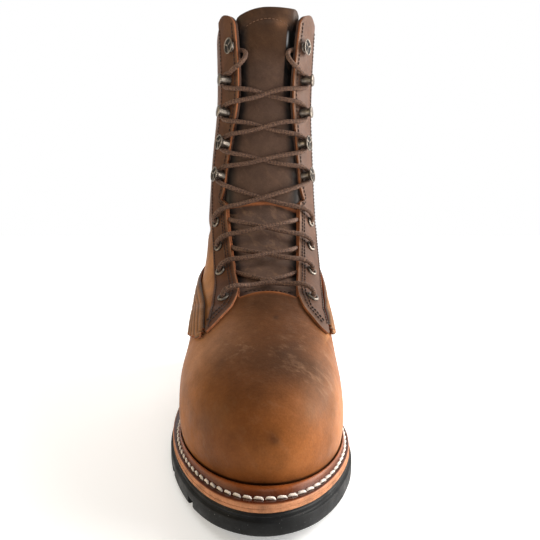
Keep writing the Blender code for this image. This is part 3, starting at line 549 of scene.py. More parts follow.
# Strands between eyelets: height where they cross, then angles and rings above the eyelet
STRAND_CLIMB = 0.5
STRAND_CURVE = 0.85
STRAND_OVER = {-1: 0.006, 1: 0.0036}
STRAND_FLAT_DEGREES = 20.0
STRAND_PLACES = ((14.0, 0.34), (4.0, 0.5), (-6.0, 0.65), (-17.0, 0.78))
STRAND_END = (-23.5, 0.85, 0.0012)
# Strands that show under the bar: angle, ring and height above the tongue
UNDER_PLACES = ((23.5, 8.62, 0.001), (14.0, 8.52, 0.002), (4.0, 8.42, 0.0022), (-5.0, 8.34, 0.0018))
# Runs from hook to hook: angles and shares of the climb, and heights where they cross and beside that
RUN_PLACES = ((15.0, 0.3), (0.0, 0.5), (-15.0, 0.7))
RUN_OVER = {-1: 0.0019, 1: -0.0004}
RUN_BESIDE_SHARE = 0.45
RUN_FIRST_ROWS = 0.2
RUN_HOOK_ROWS = 0.08
RUN_TURNS = (-75.0, -38.0, 0.0, 38.0, 75.0)
RUN_LAST_TURNS = (-70.0, -35.0, 0.0, 35.0)
RUN_CROSSINGS = {-1: (3, 5), 1: (4, 6)}

# Area lights: name, place, aimed at, width, height, power and colour
LIGHTS = (
    ("key_right", (0.85, 0.02, 0.3), (0, -0.06, 0.09), 0.7, 0.9, 20.0, (1.0, 0.97, 0.92)),
    ("fill_left", (-0.95, -0.15, 0.4), (0, -0.03, 0.1), 0.8, 0.8, 4.8, (1.0, 0.84, 0.56)),
    ("top", (0.1, -0.5, 1.1), (0, -0.08, 0.1), 0.6, 0.6, 2.5, (1.0, 0.98, 0.95)),
    ("back", (0.2, 0.9, 0.8), (0, 0.05, 0.15), 0.8, 0.6, 3.0, (1.0, 1.0, 1.0)),
)
# Brightness of the studio in front of the boot, on the camera's side, and behind it, and its dim left
STUDIO_FRONT = 0.15
STUDIO_BACK = 1.0
STUDIO_DEPTH = (-0.2, 0.75)
STUDIO_LEFT = (0.3, 0.25, 0.2, 1.0)
STUDIO_LEFT_REACH = (-0.75, -0.52)
WHITE = (1.0, 1.0, 1.0, 1.0)
FLOOR_HALF = 3.0
FLOOR_POINTS = 13
FLOOR_DROP = 0.0002
FLOOR_TONES = ((0.86, 0.86, 0.86, 1.0), (0.9, 0.9, 0.9, 1.0))
FLOOR_GLOW = 0.35
FLOOR_FAR_GLOW = 0.85
FLOOR_GLOW_REACH = (0.35, 1.4)


def linear(colour):
    """Display values from 0 to 255 as the light values that shaders use."""
    share = np.array(colour) / 255.0
    return np.where(share <= 0.04045, share / 12.92, ((share + 0.055) / 1.055) ** 2.4)


def ramp(value, start, full):
    """0 up to start and 1 from full on, evenly between them. full may be the lower of the two."""
    return np.clip((value - start) / (full - start), 0, 1)


def bell(distance, wide):
    """1 at no distance, falling softly to 0 over about twice the width."""
    return np.exp(-((distance / wide) ** 2))


def unit(vectors):
    """The vectors at length 1."""
    return vectors / np.linalg.norm(vectors, axis=-1, keepdims=True)


def round_angles(step):
    """Angles once round, from the toe by the medial side to the back, then by the lateral side."""
    turned = np.arange(0, 360, step)
    return np.where(turned > 180, turned - 360, turned)


# Form of the upper, as in the part's source


def slopes_without_overshoot(knots, values):
    steps = np.diff(values) / np.diff(knots)
    slopes = np.zeros(len(knots))
    rising = steps[:-1] * steps[1:] > 0
    total = np.where(rising, steps[:-1] + steps[1:], 1)
    slopes[1:-1] = np.where(rising, 2 * steps[:-1] * steps[1:] / total, 0)
    slopes[0] = steps[0]
    slopes[-1] = steps[-1]
    return slopes


def steady(knots, values, at):
    """A curve through the knots that stays level where they do."""
    knots = np.asarray(knots, float)
    values = np.asarray(values, float)
    slopes = slopes_without_overshoot(knots, values)
    at = np.clip(at, knots[0], knots[-1])
    i = np.clip(np.searchsorted(knots, at, side="right") - 1, 0, len(knots) - 2)
    width = knots[i + 1] - knots[i]
    t = (at - knots[i]) / width
    rise = values[i + 1] - values[i]
    start = slopes[i] * width
    end = slopes[i + 1] * width
    return values[i] + t * (start + t * (3 * rise - 2 * start - end + t * (start + end - 2 * rise)))


def spline(knots, values, at):
    """Natural cubic through the knots. values has a row for each knot, or a table of them."""
    knots = np.asarray(knots, float)
    values = np.asarray(values, float)
    count = len(knots)
    width = np.diff(knots)
    system = np.eye(count)
    bend = np.zeros_like(values)
    for i in range(1, count - 1):
        system[i, i - 1 : i + 2] = width[i - 1], 2 * (width[i - 1] + width[i]), width[i]
        bend[i] = 6 * ((values[i + 1] - values[i]) / width[i] - (values[i] - values[i - 1]) / width[i - 1])
    bend = np.linalg.solve(system, bend)
    at = np.clip(at, knots[0], knots[-1])
    i = np.clip(np.searchsorted(knots, at, side="right") - 1, 0, count - 2)

    def pick(table, row):
        return table[row] if table.ndim == 1 else table[row, np.arange(len(row))]

    low = knots[i + 1] - at
    high = at - knots[i]
    gap = width[i]
    return (
        (pick(bend, i) * low**3 + pick(bend, i + 1) * high**3) / (6 * gap)
        + (pick(values, i) / gap - pick(bend, i) * gap / 6) * low
        + (pick(values, i + 1) / gap - pick(bend, i + 1) * gap / 6) * high
    )


def seat_height(s):
    return steady(SEAT_S, SEAT_Z, s)


def tread_height(s):
    return steady(TREAD_S, TREAD_Z, s)


def ring_plan(columns, degrees):
    """s, x and the share of the way forward, at angles from the ring's front, + to the medial side."""
    front_s, back_s, front_x, back_x, back, heel, waist_l, waist_m, ball_l, ball_m, toe = columns
    angle = np.radians(degrees)
    ahead = (1 + np.cos(angle)) / 2
    lateral = spline(LATERAL_STATIONS, np.array([back, heel, waist_l, ball_l, toe]), ahead)
    medial = spline(MEDIAL_STATIONS, np.array([back, heel, waist_m, ball_m, toe]), ahead)
    fullness = np.where(np.sin(angle) < 0, lateral, medial)
    s = back_s + (front_s - back_s) * ahead
    x = back_x + (front_x - back_x) * ahead + fullness * np.sin(angle)
    return s, x, ahead


def sole_edge(degrees):
    """s and x of the sole's edge, before the boot is centred."""
    columns = [np.full(len(degrees), value) for value in SOLE_PLAN]
    return ring_plan(columns, degrees)[:2]


def grown(s, x, out):
    """The closed plan loop s, x moved outwards by out."""
    along_s = np.roll(s, -1) - np.roll(s, 1)
    along_x = np.roll(x, -1) - np.roll(x, 1)
    length = np.hypot(along_s, along_x)
    return s + out * along_x / length, x - out * along_s / length


def points_of(s, x, z):
    return np.stack([x - MIDDLE_X, HEEL_Y - s, z + 0 * s], axis=-1)


def plan_of(points):
    """s and x of points."""
    return HEEL_Y - points[:, 1], points[:, 0] + MIDDLE_X


def opened(degrees, row):
    """Angles spread back from the throat's edge, which is at THROAT_ANGLE in the flat pattern."""
    half = steady(THROAT_ROWS, THROAT_HALF, row)
    toe_fullness = np.array(UPPER_RINGS)[:, -1]
    full = spline(range(len(UPPER_RINGS)), toe_fullness, row)
    edge = np.degrees(np.arcsin(half / full))
    flat = np.clip(np.abs(degrees), THROAT_ANGLE, 180)
    beyond = edge + (flat - THROAT_ANGLE) * (180 - edge) / (180 - THROAT_ANGLE)
    inside = np.abs(degrees) * edge / THROAT_ANGLE
    return np.sign(degrees) * np.where(np.abs(degrees) < THROAT_ANGLE, inside, beyond)


def upper_face(degrees, row):
    """Points on the upper's outer face at pattern angles and ring numbers, which may lie between rings."""
    table = np.array(UPPER_RINGS)
    numbers = np.arange(len(table))
    columns = [spline(numbers, table[:, i], row) for i in range(table.shape[1])]
    front_s, front_z, back_s, back_z = columns[:4]
    s, x, ahead = ring_plan([front_s, back_s] + columns[4:], opened(degrees, row))
    z = back_z + (front_z - back_z) * ahead
    seat_line = seat_height(back_s) + (seat_height(front_s) - seat_height(back_s)) * ahead
    fade = np.clip(1 - row / SEAT_FADE_ROWS, 0, 1)
    rise = COLLAR_RISE * steady(COLLAR_RISE_ANGLE, COLLAR_RISE_SHARE, np.abs(degrees))
    above = np.clip(row - COLLAR_BEND_ROW, 0, 1)
    return points_of(s, x, z + fade * (seat_height(s) - seat_line) + rise * above**2)


def facing_out(surface, degrees, row):
    """Outward unit normals of a surface given by pattern angle and ring."""
    high = np.minimum(row + UP_STEP_ROWS, COLLAR_ROW)
    low = np.maximum(row - UP_STEP_ROWS, 0)
    around = surface(degrees + TURN_STEP, row) - surface(degrees - TURN_STEP, row)
    up = surface(degrees, high) - surface(degrees, low)
    return unit(np.cross(around, up))


def flat_arrays(*values):
    """The values as flat arrays of the same length, and the shape they had together."""
    spread = np.broadcast_arrays(*(np.asarray(value, float) for value in values))
    return [np.atleast_1d(value).ravel() for value in spread], spread[0].shape


def tongue_face(degrees, row):
    """The tongue's outer face: under the upper's wall, and drawn flatter across the throat."""
    depth = steady(TONGUE_DEPTH_ROWS, TONGUE_DEPTH, row)[:, None]

    def under(angle):
        return upper_face(angle, row) - facing_out(upper_face, angle, row) * depth

    points = under(degrees)
    across = np.clip(degrees / THROAT_ANGLE, -1, 1)
    lateral = under(np.full_like(degrees, -THROAT_ANGLE))
    medial = under(np.full_like(degrees, THROAT_ANGLE))
    chord_y = lateral[:, 1] + (medial[:, 1] - lateral[:, 1]) * (1 + across) / 2
    flat = steady(TONGUE_FLAT_ROWS, TONGUE_FLAT, row) * (np.abs(across) < 1)
    points[:, 1] += flat * (chord_y - points[:, 1])
    return points


def collar_row(degrees, row):
    """The ring at a place on the upper, lower near the collar's front corners."""
    drop = steady(COLLAR_DROP_ANGLE, COLLAR_DROP, np.abs(degrees))
    above = np.maximum(row - COLLAR_BEND_ROW, 0)
    return row - above * drop


# Creases on the upper


def polyline(ends, count=24):
    """Points on the upper along a straight run of pattern coordinates."""
    share = np.linspace(0, 1, count)
    (angle, row), (last_angle, last_row) = ends
    return upper_face(angle + (last_angle - angle) * share, row + (last_row - row) * share)


def distance_to(points, line):
    """Distance of each point from a run of points."""
    nearest = np.full(len(points), np.inf)
    for start, end in zip(line[:-1], line[1:]):
        along = end - start
        share = np.clip((points - start) @ along / (along @ along), 0, 1)
        nearest = np.minimum(nearest, np.linalg.norm(points - start - share[:, None] * along, axis=1))
    return nearest


def creased(points):
    """How far creases move points of the upper's face outwards."""
    moved = np.zeros(len(points))
    for start, end, depth, wide in CREASES:
        moved -= depth * bell(distance_to(points, polyline((start, end))), wide)
    return moved


def skin(degrees, row, lift=0.0):
    """Points on the dressed upper, moved outwards by lift."""
    (angle, ring, out), shape = flat_arrays(degrees, row, lift)
    base = upper_face(angle, ring)
    points = base + facing_out(upper_face, angle, ring) * (out + creased(base))[:, None]
    return points.reshape(*shape, 3)


def tongue_skin(degrees, row, lift=0.0):
    """Points on the tongue's face, moved outwards by lift."""
    (angle, ring, out), shape = flat_arrays(degrees, row, lift)
    points = tongue_face(angle, ring) + facing_out(tongue_face, angle, ring) * out[:, None]
    return points.reshape(*shape, 3)


def padded_tongue(degrees, row, lift=0.0):
    """Points on the tongue's padding, moved outwards by lift."""
    return tongue_skin(degrees, row, tongue_relief(degrees, row) + lift)


# Meshes and materials


def grid_faces(rows, columns, closed=False):
    """Quads of a grid of points, as an array. A closed grid joins its last column to its first."""
    i, j = np.meshgrid(np.arange(rows - 1), np.arange(columns if closed else columns - 1), indexing="ij")
    here = i * columns
    above = here + columns
    after = (j + 1) % columns
    return np.stack([here + j, here + after, above + after, above + j], -1).reshape(-1, 4)


def mesh_from(name, points, faces, paint=None, wear=PLAIN_WEAR):
    """A smooth mesh, without the points that no face uses. Its paint is a colour and wear for each point."""
    points = np.asarray(points).reshape(-1, 3)
    faces = np.asarray(faces)
    used = np.unique(faces)
    place = np.zeros(len(points), int)
    place[used] = np.arange(len(used))
    mesh = bpy.data.meshes.new(name)
    mesh.from_pydata(points[used].tolist(), [], place[faces].tolist())
    mesh.shade_smooth()
    if paint is not None:
        colours = np.ones((len(used), 4))
        colours[:, :3] = np.asarray(paint).reshape(-1, 3)[used]
        colours[:, 3] = np.broadcast_to(wear, paint.shape[:-1]).ravel()[used]
        mesh.color_attributes.new("paint", "FLOAT_COLOR", "POINT").data.foreach_set("color", colours.ravel())
    return mesh


def piece(name, mesh, looks, replaced=()):
    """A piece of the boot that shows, riding on its one body."""
    made = bpy.data.objects.new(name, mesh)
    bpy.context.scene.collection.objects.link(made)
    for look in looks:
        mesh.materials.append(look)
    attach(made, "root")
    if replaced:
        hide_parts(*replaced)
    return made


def round_off(made, width, degrees):
    """Rounds the edges of a piece that turn by more than degrees."""
    edge = made.modifiers.new("edge", "BEVEL")
    edge.width = width
    edge.segments = 2
    edge.limit_method = "ANGLE"
    edge.angle_limit = np.radians(degrees)


def thicken(made, thickness, offset, round_edge, inner=0, rim=0):
    """Gives a sheet its wall, with materials for its inner side and its cut edge."""
    wall = made.modifiers.new("wall", "SOLIDIFY")
    wall.thickness = thickness
    wall.offset = offset
    wall.material_offset = inner
    wall.material_offset_rim = rim
    wall.use_quality_normals = True
    round_off(made, round_edge, SHEET_EDGE_DEGREES)


class Look:
    """A procedural material while it is being made."""

    def __init__(self, name, roughness, metallic=0.0, specular=0.5, sheen=NO_TINT):
        self.made = bpy.data.materials.new(name)
        self.made.use_nodes = True
        self.tree = self.made.node_tree
        self.shader = self.tree.nodes["Principled BSDF"]
        self.shader.inputs["Roughness"].default_value = roughness
        self.shader.inputs["Specular IOR Level"].default_value = specular
        self.shader.inputs["Specular Tint"].default_value = (*sheen, 1.0)
        self.shader.inputs["Metallic"].default_value = metallic
        self.place = self.tree.nodes.new("ShaderNodeTexCoord").outputs["Object"]

    def feed(self, socket, value):
        if isinstance(value, bpy.types.NodeSocket):
            self.tree.links.new(value, socket)
        else:
            socket.default_value = value

    def add(self, kind, inputs=None, **settings):
        node = self.tree.nodes.new("ShaderNode" + kind)
        for key, value in settings.items():
            setattr(node, key, value)
        for key, value in (inputs or {}).items():
            self.feed(node.inputs[key], value)
        return node

    def noise(self, scale, detail=3.0, rough=0.55, place=None):
        inputs = {"Vector": place or self.place, "Scale": scale, "Detail": detail, "Roughness": rough}
        return self.add("TexNoise", inputs).outputs["Fac"]

    def cells(self, scale, feature="F1"):
        inputs = {"Vector": self.place, "Scale": scale}
        return self.add("TexVoronoi", inputs, feature=feature).outputs["Distance"]

    def attribute(self, name, kind="Color"):
        return self.add("Attribute", attribute_name=name).outputs[kind]

    def ranged(self, value, first, last, low=0.3, high=0.7):
        """A value between low and high, spread from first to last."""
        inputs = {"Value": value, "From Min": low, "From Max": high, "To Min": first, "To Max": last}
        return self.add("MapRange", inputs).outputs["Result"]

    def math(self, operation, first, second):
        return self.add("Math", {0: first, 1: second}, operation=operation).outputs[0]

    def scaled(self, colour, factor):
        if not isinstance(colour, bpy.types.NodeSocket):
            colour = colour[:3]
        inputs = {"Vector": colour, "Scale": factor}
        return self.add("VectorMath", inputs, operation="SCALE").outputs["Vector"]

    def mixed(self, factor, first, second):
        return self.add("Mix", {0: factor, 6: first, 7: second}, data_type="RGBA").outputs[2]

    def bump(self, height, strength, distance, under=None):
        inputs = {"Height": height, "Strength": strength, "Distance": distance}
        if under is not None:
            inputs["Normal"] = under
        return self.add("Bump", inputs).outputs["Normal"]

    def finish(self, colour, roughness=None, normal=None):
        self.feed(self.shader.inputs["Base Color"], colour)
        if roughness is not None:
            self.feed(self.shader.inputs["Roughness"], roughness)
        if normal is not None:
            self.feed(self.shader.inputs["Normal"], normal)
        return self.made


def solid(colour):
    return (*linear(colour), 1.0)


def leather(name, gloss, pebble, scuff, sheen=NO_TINT):
    """Waxed leather over its paint: mottled, finely grained, scratched where its paint is worn."""
    look = Look(name, gloss, specular=LEATHER_SPECULAR, sheen=sheen)
    mottle = look.ranged(look.noise(55.0, detail=6.0, rough=0.65), 0.72, 1.26)
    fleck = look.ranged(look.noise(900.0, detail=2.0), 0.88, 1.12, low=0.25, high=0.75)
    colour = look.scaled(look.scaled(look.attribute("paint"), mottle), fleck)
    turned = {"Vector": look.place, "Rotation": SCRATCH_TURN, "Scale": SCRATCH_STRETCH}
    stretched = look.add("Mapping", turned, vector_type="TEXTURE").outputs["Vector"]
    streaks = look.noise(210.0, detail=7.0, rough=0.68, place=stretched)
    scratch = look.ranged(streaks, 0.0, scuff, low=0.52, high=0.72)
    worn = look.math("MULTIPLY", scratch, look.attribute("paint", "Alpha"))
    colour = look.mixed(worn, colour, solid(WORN))
    normal = look.bump(look.cells(950.0, "SMOOTH_F1"), pebble, 0.0004)
    normal = look.bump(look.noise(2600.0, detail=2.0), 0.12, 0.0002, normal)
    normal = look.bump(look.noise(230.0, detail=4.0, rough=0.6), 0.18, 0.0006, normal)
    rough = look.ranged(look.noise(60.0, detail=5.0, rough=0.65), gloss - 0.09, gloss + 0.12)
    return look.finish(colour, rough, normal)


def raw_edge(name, colour):
    """Cut leather: fibres across a stained edge."""
    look = Look(name, 0.85)
    fibre = look.noise(1400.0, detail=4.0, rough=0.7)
    blotch = look.noise(160.0, detail=4.0, rough=0.6)
    stained = (*(STAINED_SHARE * linear(colour)), 1.0)
    tone = look.mixed(look.ranged(blotch, 0.0, 1.0, low=0.42, high=0.68), solid(colour), stained)
    tone = look.scaled(tone, look.ranged(fibre, 0.82, 1.15))
    return look.finish(tone, None, look.bump(fibre, 0.5, 0.0006))


def lining_mesh():
    """Black knitted lining."""
    look = Look("lining_mesh", 0.8)
    holes = look.cells(700.0)
    knit = look.ranged(holes, 0.0, 1.0, low=0.2, high=0.5)
    tone = look.mixed(knit, solid(LINING_BLACK), solid(LINING_GREY))
    return look.finish(tone, None, look.bump(holes, 0.8, 0.001))


def rubber(name):
    """Black rubber, dusty and specked."""
    look = Look(name, 0.5, specular=0.2)
    dust = look.ranged(look.noise(70.0, detail=6.0, rough=0.7), 0.0, 0.3, low=0.5, high=0.75)
    tone = look.mixed(dust, solid(RUBBER_BLACK), solid(RUBBER_DUST))
    specks = look.ranged(look.noise(1100.0, detail=2.0), 0.0, 0.5, low=0.7, high=0.76)
    tone = look.mixed(specks, tone, solid(RUBBER_SPECK))
    rough = look.ranged(look.noise(90.0, detail=4.0), 0.42, 0.68)
    return look.finish(tone, rough, look.bump(look.noise(1800.0), 0.2, 0.0004))


def metal(name):
    """Antique nickel with dark stains."""
    look = Look(name, 0.3, metallic=1.0)
    stain = look.noise(420.0, detail=4.0, rough=0.65)
    stained = look.ranged(stain, 0.0, 1.0, low=0.42, high=0.68)
    tone = look.mixed(stained, solid(NICKEL), solid(NICKEL_STAIN))
    rough = look.ranged(stain, 0.36, 0.5)
    return look.finish(tone, rough, look.bump(look.noise(900.0), 0.1, 0.0003))


def dark_hole():
    """Painted shade: dark discs for the inside of eyelets and hooks."""
    look = Look("dark_hole", 0.9)
    return look.finish(look.mixed(look.noise(400.0), solid(HOLE_SHADE_BLACK), solid(HOLE_SHADE_BROWN)))


def thread(name, colour):
    """Sewing thread with its twist."""
    look = Look(name, 0.75)
    twist = look.noise(2600.0, detail=2.0)
    tone = look.scaled(solid(colour), look.ranged(twist, 0.75, 1.15))
    tone = look.scaled(tone, look.ranged(look.noise(130.0), 0.8, 1.1))
    return look.finish(tone, None, look.bump(twist, 0.4, 0.0004))


def braid(name):
    """Round braided cord: bright flecks on its paint, which marks the strands with painted shade between them
    and a painted highlight on their crowns.
    """
    look = Look(name, 0.8)
    fleck = look.ranged(look.noise(1500.0, detail=2.0), 0.0, 0.6, low=0.52, high=0.66)
    tone = look.mixed(fleck, look.attribute("paint"), solid(LACE_FLECK))
    return look.finish(tone, None, look.bump(look.noise(3200.0, detail=2.0), 0.35, 0.0004))


def fibre_board():
    """Pressed fibres of the insole."""
    look = Look("fibre_board", 0.9)
    fibre = look.noise(600.0, detail=5.0, rough=0.7)
    tone = look.scaled(solid(BOARD_TAN), look.ranged(fibre, 0.75, 1.15))
    return look.finish(tone, None, look.bump(fibre, 0.4, 0.0006))


# Paint


def painted(colour, points):
    """One colour for every point."""
    return np.broadcast_to(linear(colour), points.shape).copy()


def blend(base, colour, share):
    """Colours of points moved towards a colour by a share."""
    return base + (linear(colour) - base) * np.clip(share, 0, 1)[..., None]


def spot(points, angle, row, wide):
    """1 at a place on the upper, falling softly to 0."""
    centre = upper_face(np.array([angle]), np.array([row]))[0]
    return bell(np.linalg.norm(points - centre, axis=-1), wide)


def paint_upper(degrees, row, points):
    """Colours and wear of the upper: brown shaft, warmer vamp, tan flanks, painted shade over the vamp's top
    and in the welt's crease, and painted light and shade among the vamp's marks.
    """
    across = np.abs(degrees)
    paint = blend(painted(BROWN, points), VAMP_BROWN, ramp(row, *VAMP_ROWS))
    quarter = ramp(across, *QUARTER_DEGREES) * ramp(row, *QUARTER_ROWS) * (row > QUARTER_LOW_ROW)
    quarter = quarter * np.maximum(ramp(across, *QUARTER_BACK_DEGREES), QUARTER_BACK_LEAST)
    paint = blend(paint, QUARTER_TAN, QUARTER_STRENGTH * quarter)
    # Painted shade over the vamp's top
    top = ramp(row, *VAMP_SHADE_ROWS) * ramp(across, *VAMP_SHADE_DEGREES) * (row < VAMP_ROWS[0])
    paint = blend(paint, VAMP_TOP_SHADE, VAMP_SHADE_STRENGTH * top)
    # Painted light and shade on the vamp, and its small dark marks
    for angle, ring, wide, colour, strength in VAMP_SHADING_AND_MARKS:
        paint = blend(paint, colour, strength * spot(points, angle, ring, wide))
    wear = np.full(row.shape, UPPER_WEAR)
    for angle, ring, wide in VAMP_SCUFFS:
        wear = np.maximum(wear, spot(points, angle, ring, wide))
    # Painted shade in the crease along the welt
    return blend(paint, CREASE_SHADE_BROWN, CREASE_SHADE_STRENGTH * ramp(row, *CREASE_SHADE_ROWS)), wear


def paint_tongue(degrees, row, points):
    """Colours of the tongue: darker towards its top with painted shade, painted shade at its sides, the
    lining in painted shade in the gap and a pale patch beside its top, a painted sheen and a raw edge.
    """
    # Darker towards the top: painted shade below the arched seam
    paint = blend(painted(TONGUE_BROWN, points), TONGUE_TOP_SHADE_BROWN, ramp(row, *TONGUE_TOP_SHADE_ROWS))
    paint = blend(paint, TONGUE_LOW_BROWN, TONGUE_LOW_STRENGTH * ramp(row, *TONGUE_LOW_ROWS))
    # Painted shade along the tongue's sides
    side_shade = ramp(np.abs(degrees), *SIDE_SHADE_DEGREES) * ramp(row, *SIDE_SHADE_ROWS)
    side_shade = side_shade * np.maximum(ramp(row, *SIDE_SHADE_TOP_ROWS), SIDE_SHADE_TOP_LEAST)
    paint = blend(paint, TONGUE_SIDE_SHADE, side_shade)
    # The black lining with painted shade in the gap
    paint = blend(paint, GAP_LINING_IN_SHADE, tongue_gap(degrees, row))
    # A small pale patch in the gap
    label = bell(degrees - GAP_PATCH_ANGLE, GAP_PATCH_WIDE_DEGREES) * ramp(np.abs(row - GAP_PATCH_ROW), *GAP_PATCH_REACH_ROWS)
    paint = blend(paint, GAP_PATCH_WHITE, label)
    # Painted sheen below the arched seam
    painted_sheen = bell(degrees - SHEEN_ANGLE, SHEEN_WIDE_DEGREES) * bell(row - SHEEN_ROW, SHEEN_WIDE_ROWS)
    paint = blend(paint, TONGUE_SHEEN_BROWN, SHEEN_STRENGTH * painted_sheen)
    from_seam = np.abs(row - tongue_seam_row(degrees) - RAW_SEAM_LIFT_ROWS)
    return blend(paint, RAW_EDGE, ramp(from_seam, *RAW_SEAM_ROWS))


# Pieces


def throat_edge(row, side):
    """Pattern angle of the throat's edge, with the step where the two facings meet."""
    above = row - NOTCH_ROW
    rise = ramp(above, -NOTCH_RISE_ROWS / 2, NOTCH_RISE_ROWS / 2)
    return THROAT_ANGLE + NOTCH_DEGREES[side] * rise * ramp(above, NOTCH_FADE_ROWS, 0) ** 2


def at_throat(degrees, row):
    """Angles near the throat, moved back to follow its edge."""
    moved = np.zeros_like(degrees)
    for side in SIDES:
        behind = side * degrees - THROAT_ANGLE
        shift = throat_edge(row, side) - THROAT_ANGLE
        moved += np.where(behind >= -SMALL, side * shift * ramp(behind, THROAT_REACH_DEGREES, 0), 0)
    return degrees + moved


def arched_vamp(degrees, row):
    """The ring at a place on the upper, lower towards the ends of the vamp's top edge."""
    across = np.abs(degrees)
    below, above = VAMP_ARCH_FADE_ROWS
    drop = np.minimum(across / VAMP_ARCH_DEGREES, 1) ** 2 * ramp(across, *VAMP_ARCH_END_DEGREES)
    near = ramp(row, THROAT_ROW - below, THROAT_ROW) * ramp(row, THROAT_ROW + above, THROAT_ROW)
    return row - VAMP_ARCH_ROWS * drop * near


def build_upper(leather_look, lining_look, dark_edge_look, edge_look):
    degrees = round_angles(UPPER_STEP)
    low_rows = np.linspace(0, THROAT_ROW, UPPER_LOW_ROWS, endpoint=False)
    rows = np.concatenate([low_rows, np.linspace(THROAT_ROW, COLLAR_ROW, UPPER_HIGH_ROWS)])
    row, angle = np.meshgrid(rows, degrees, indexing="ij")
    ring = arched_vamp(angle, collar_row(angle, row))
    warped = np.where(row >= THROAT_ROW, at_throat(angle, ring), angle)
    points = skin(warped, ring)
    paint, wear = paint_upper(warped, ring, points)
    skived = ramp(np.abs(row - THROAT_ROW), VAMP_EDGE_ROWS, 0) * (np.abs(angle) < THROAT_ANGLE)
    paint = blend(paint, RAW_EDGE, skived)
    faces = grid_faces(len(rows), len(degrees), closed=True).reshape(len(rows) - 1, len(degrees), 4)
    in_throat = np.abs(degrees + UPPER_STEP / 2) < THROAT_ANGLE
    kept = ~((rows[:-1, None] >= THROAT_ROW - SMALL) & in_throat[None, :])
    mesh = mesh_from("upper_leather", points, faces[kept], paint, wear)
    # Leather, inside and cut edge above the notch, then the same below it, where the cut edge is paler
    looks = (leather_look, lining_look, dark_edge_look, leather_look, lining_look, edge_look)
    made = piece("upper_leather", mesh, looks, ("upper",))
    low = np.broadcast_to(rows[:-1, None] < NOTCH_ROW, kept.shape)[kept]
    mesh.polygons.foreach_set("material_index", np.where(low, 3, 0).astype(np.int32))
    thicken(made, UPPER_WALL, -1, UPPER_EDGE_ROUND, inner=1, rim=2)


def facing_edges(rows, side):
    """Angles of a facing's front edge and back edge at rings."""
    row, front, back = np.array(FACINGS[side]).T
    notched = throat_edge(rows, side) - THROAT_ANGLE
    return steady(row, front, rows) + notched, steady(row, back, rows)


def build_facings(leather_look, edge_look):
    row_count, column_count = FACING_GRID
    share = np.linspace(0, 1, column_count)
    for side, label in SIDES.items():
        name = f"eyestay_{label}"
        rows = np.linspace(FACINGS[side][0][0], COLLAR_ROW, row_count)
        front, back = facing_edges(rows, side)
        degrees = side * (front[:, None] + (back - front)[:, None] * share)
        points = skin(degrees, collar_row(degrees, rows[:, None]), GAP)
        worn = np.broadcast_to(FACING_WORN * np.exp(-share / FACING_WORN_REACH), degrees.shape)
        # Each side's brown carries its painted sheen
        paint = blend(painted(FACING_BROWN_SHEEN_BY_SIDE[side], points), WORN, worn)
        faces = grid_faces(row_count, column_count)
        if side < 0:
            faces = faces[:, ::-1]
        mesh = mesh_from(name + "_leather", points, faces, paint)
        made = piece(name + "_leather", mesh, (leather_look, edge_look), (name,))
        thicken(made, FACING_THICK, 1, FACING_EDGE_ROUND, rim=1)


def foxing_rows(degrees):
    """Rings of the foxing's lower and upper edge."""
    low = steady(FOXING_ANGLE, FOXING_LOW, np.abs(degrees))
    high = steady(FOXING_ANGLE, FOXING_HIGH, np.abs(degrees))
    return low, high


def foxing_angles(flat):
    """Angles on the boot of angles in the foxing's table: it starts further back on the medial side."""
    behind = (180 - flat) / (180 - FOXING_ANGLE[0])
    return flat + np.where(flat > 0, FOXING_MEDIAL_SHIFT * behind, 0)


def build_foxing(leather_look, edge_look):
    tip = np.arange(FOXING_ANGLE[0], FOXING_FINE_DEGREES, FOXING_FINE_STEP)
    behind = np.arange(FOXING_FINE_DEGREES, 360 - FOXING_FINE_DEGREES, FOXING_STEP)
    flat = np.concatenate([tip, behind, 360 - tip[::-1]])
    flat = np.where(flat > 180, flat - 360, flat)
    low, high = foxing_rows(flat)
    degrees = foxing_angles(flat)
    share = 1 - np.linspace(1, 0, FOXING_ROWS) ** FOXING_CROWDING
    row = low + (high - low) * share[:, None]
    angle = np.broadcast_to(degrees, row.shape)
    inside = distance_to(skin(angle, row).reshape(-1, 3), skin(degrees, high)).reshape(row.shape)
    ridged = inside < RIDGE_COUNT * RIDGE_PITCH
    wave = np.abs(np.sin(np.pi * inside / RIDGE_PITCH)) * ridged
    points = skin(angle, row, FOXING_LIFT + RIDGE_HIGH * wave)
    # Painted shade in the grooves between the ridges
    paint = blend(painted(FOXING_BROWN, points), RIDGE_GROOVE_SHADE, (1 - wave) ** RIDGE_SHADE_POWER * ridged)
    mesh = mesh_from("heel_foxing_leather", points, grid_faces(*row.shape), paint)
    made = piece("heel_foxing_leather", mesh, (leather_look, edge_look), ("heel_foxing",))
    thicken(made, FACING_THICK, 1, FACING_EDGE_ROUND, rim=1)


def tongue_seam_row(degrees):
    """Ring of the raw edge across the tongue."""
    return steady(TONGUE_SEAM_ANGLE, TONGUE_SEAM_ROWS, degrees)


def tongue_arch_row(degrees):
    """Ring of the arched seam at the tongue's top."""
    return TONGUE_ARCH_ROW - TONGUE_ARCH_DROP * degrees**2


def tongue_gap(degrees, row):
    """1 where the tongue has ended and the black lining shows beside it."""
    beside = ramp(degrees, *TONGUE_GAP_DEGREES)
    return beside * ramp(row, *TONGUE_GAP_LOW_ROWS) * ramp(row, *TONGUE_GAP_HIGH_ROWS)


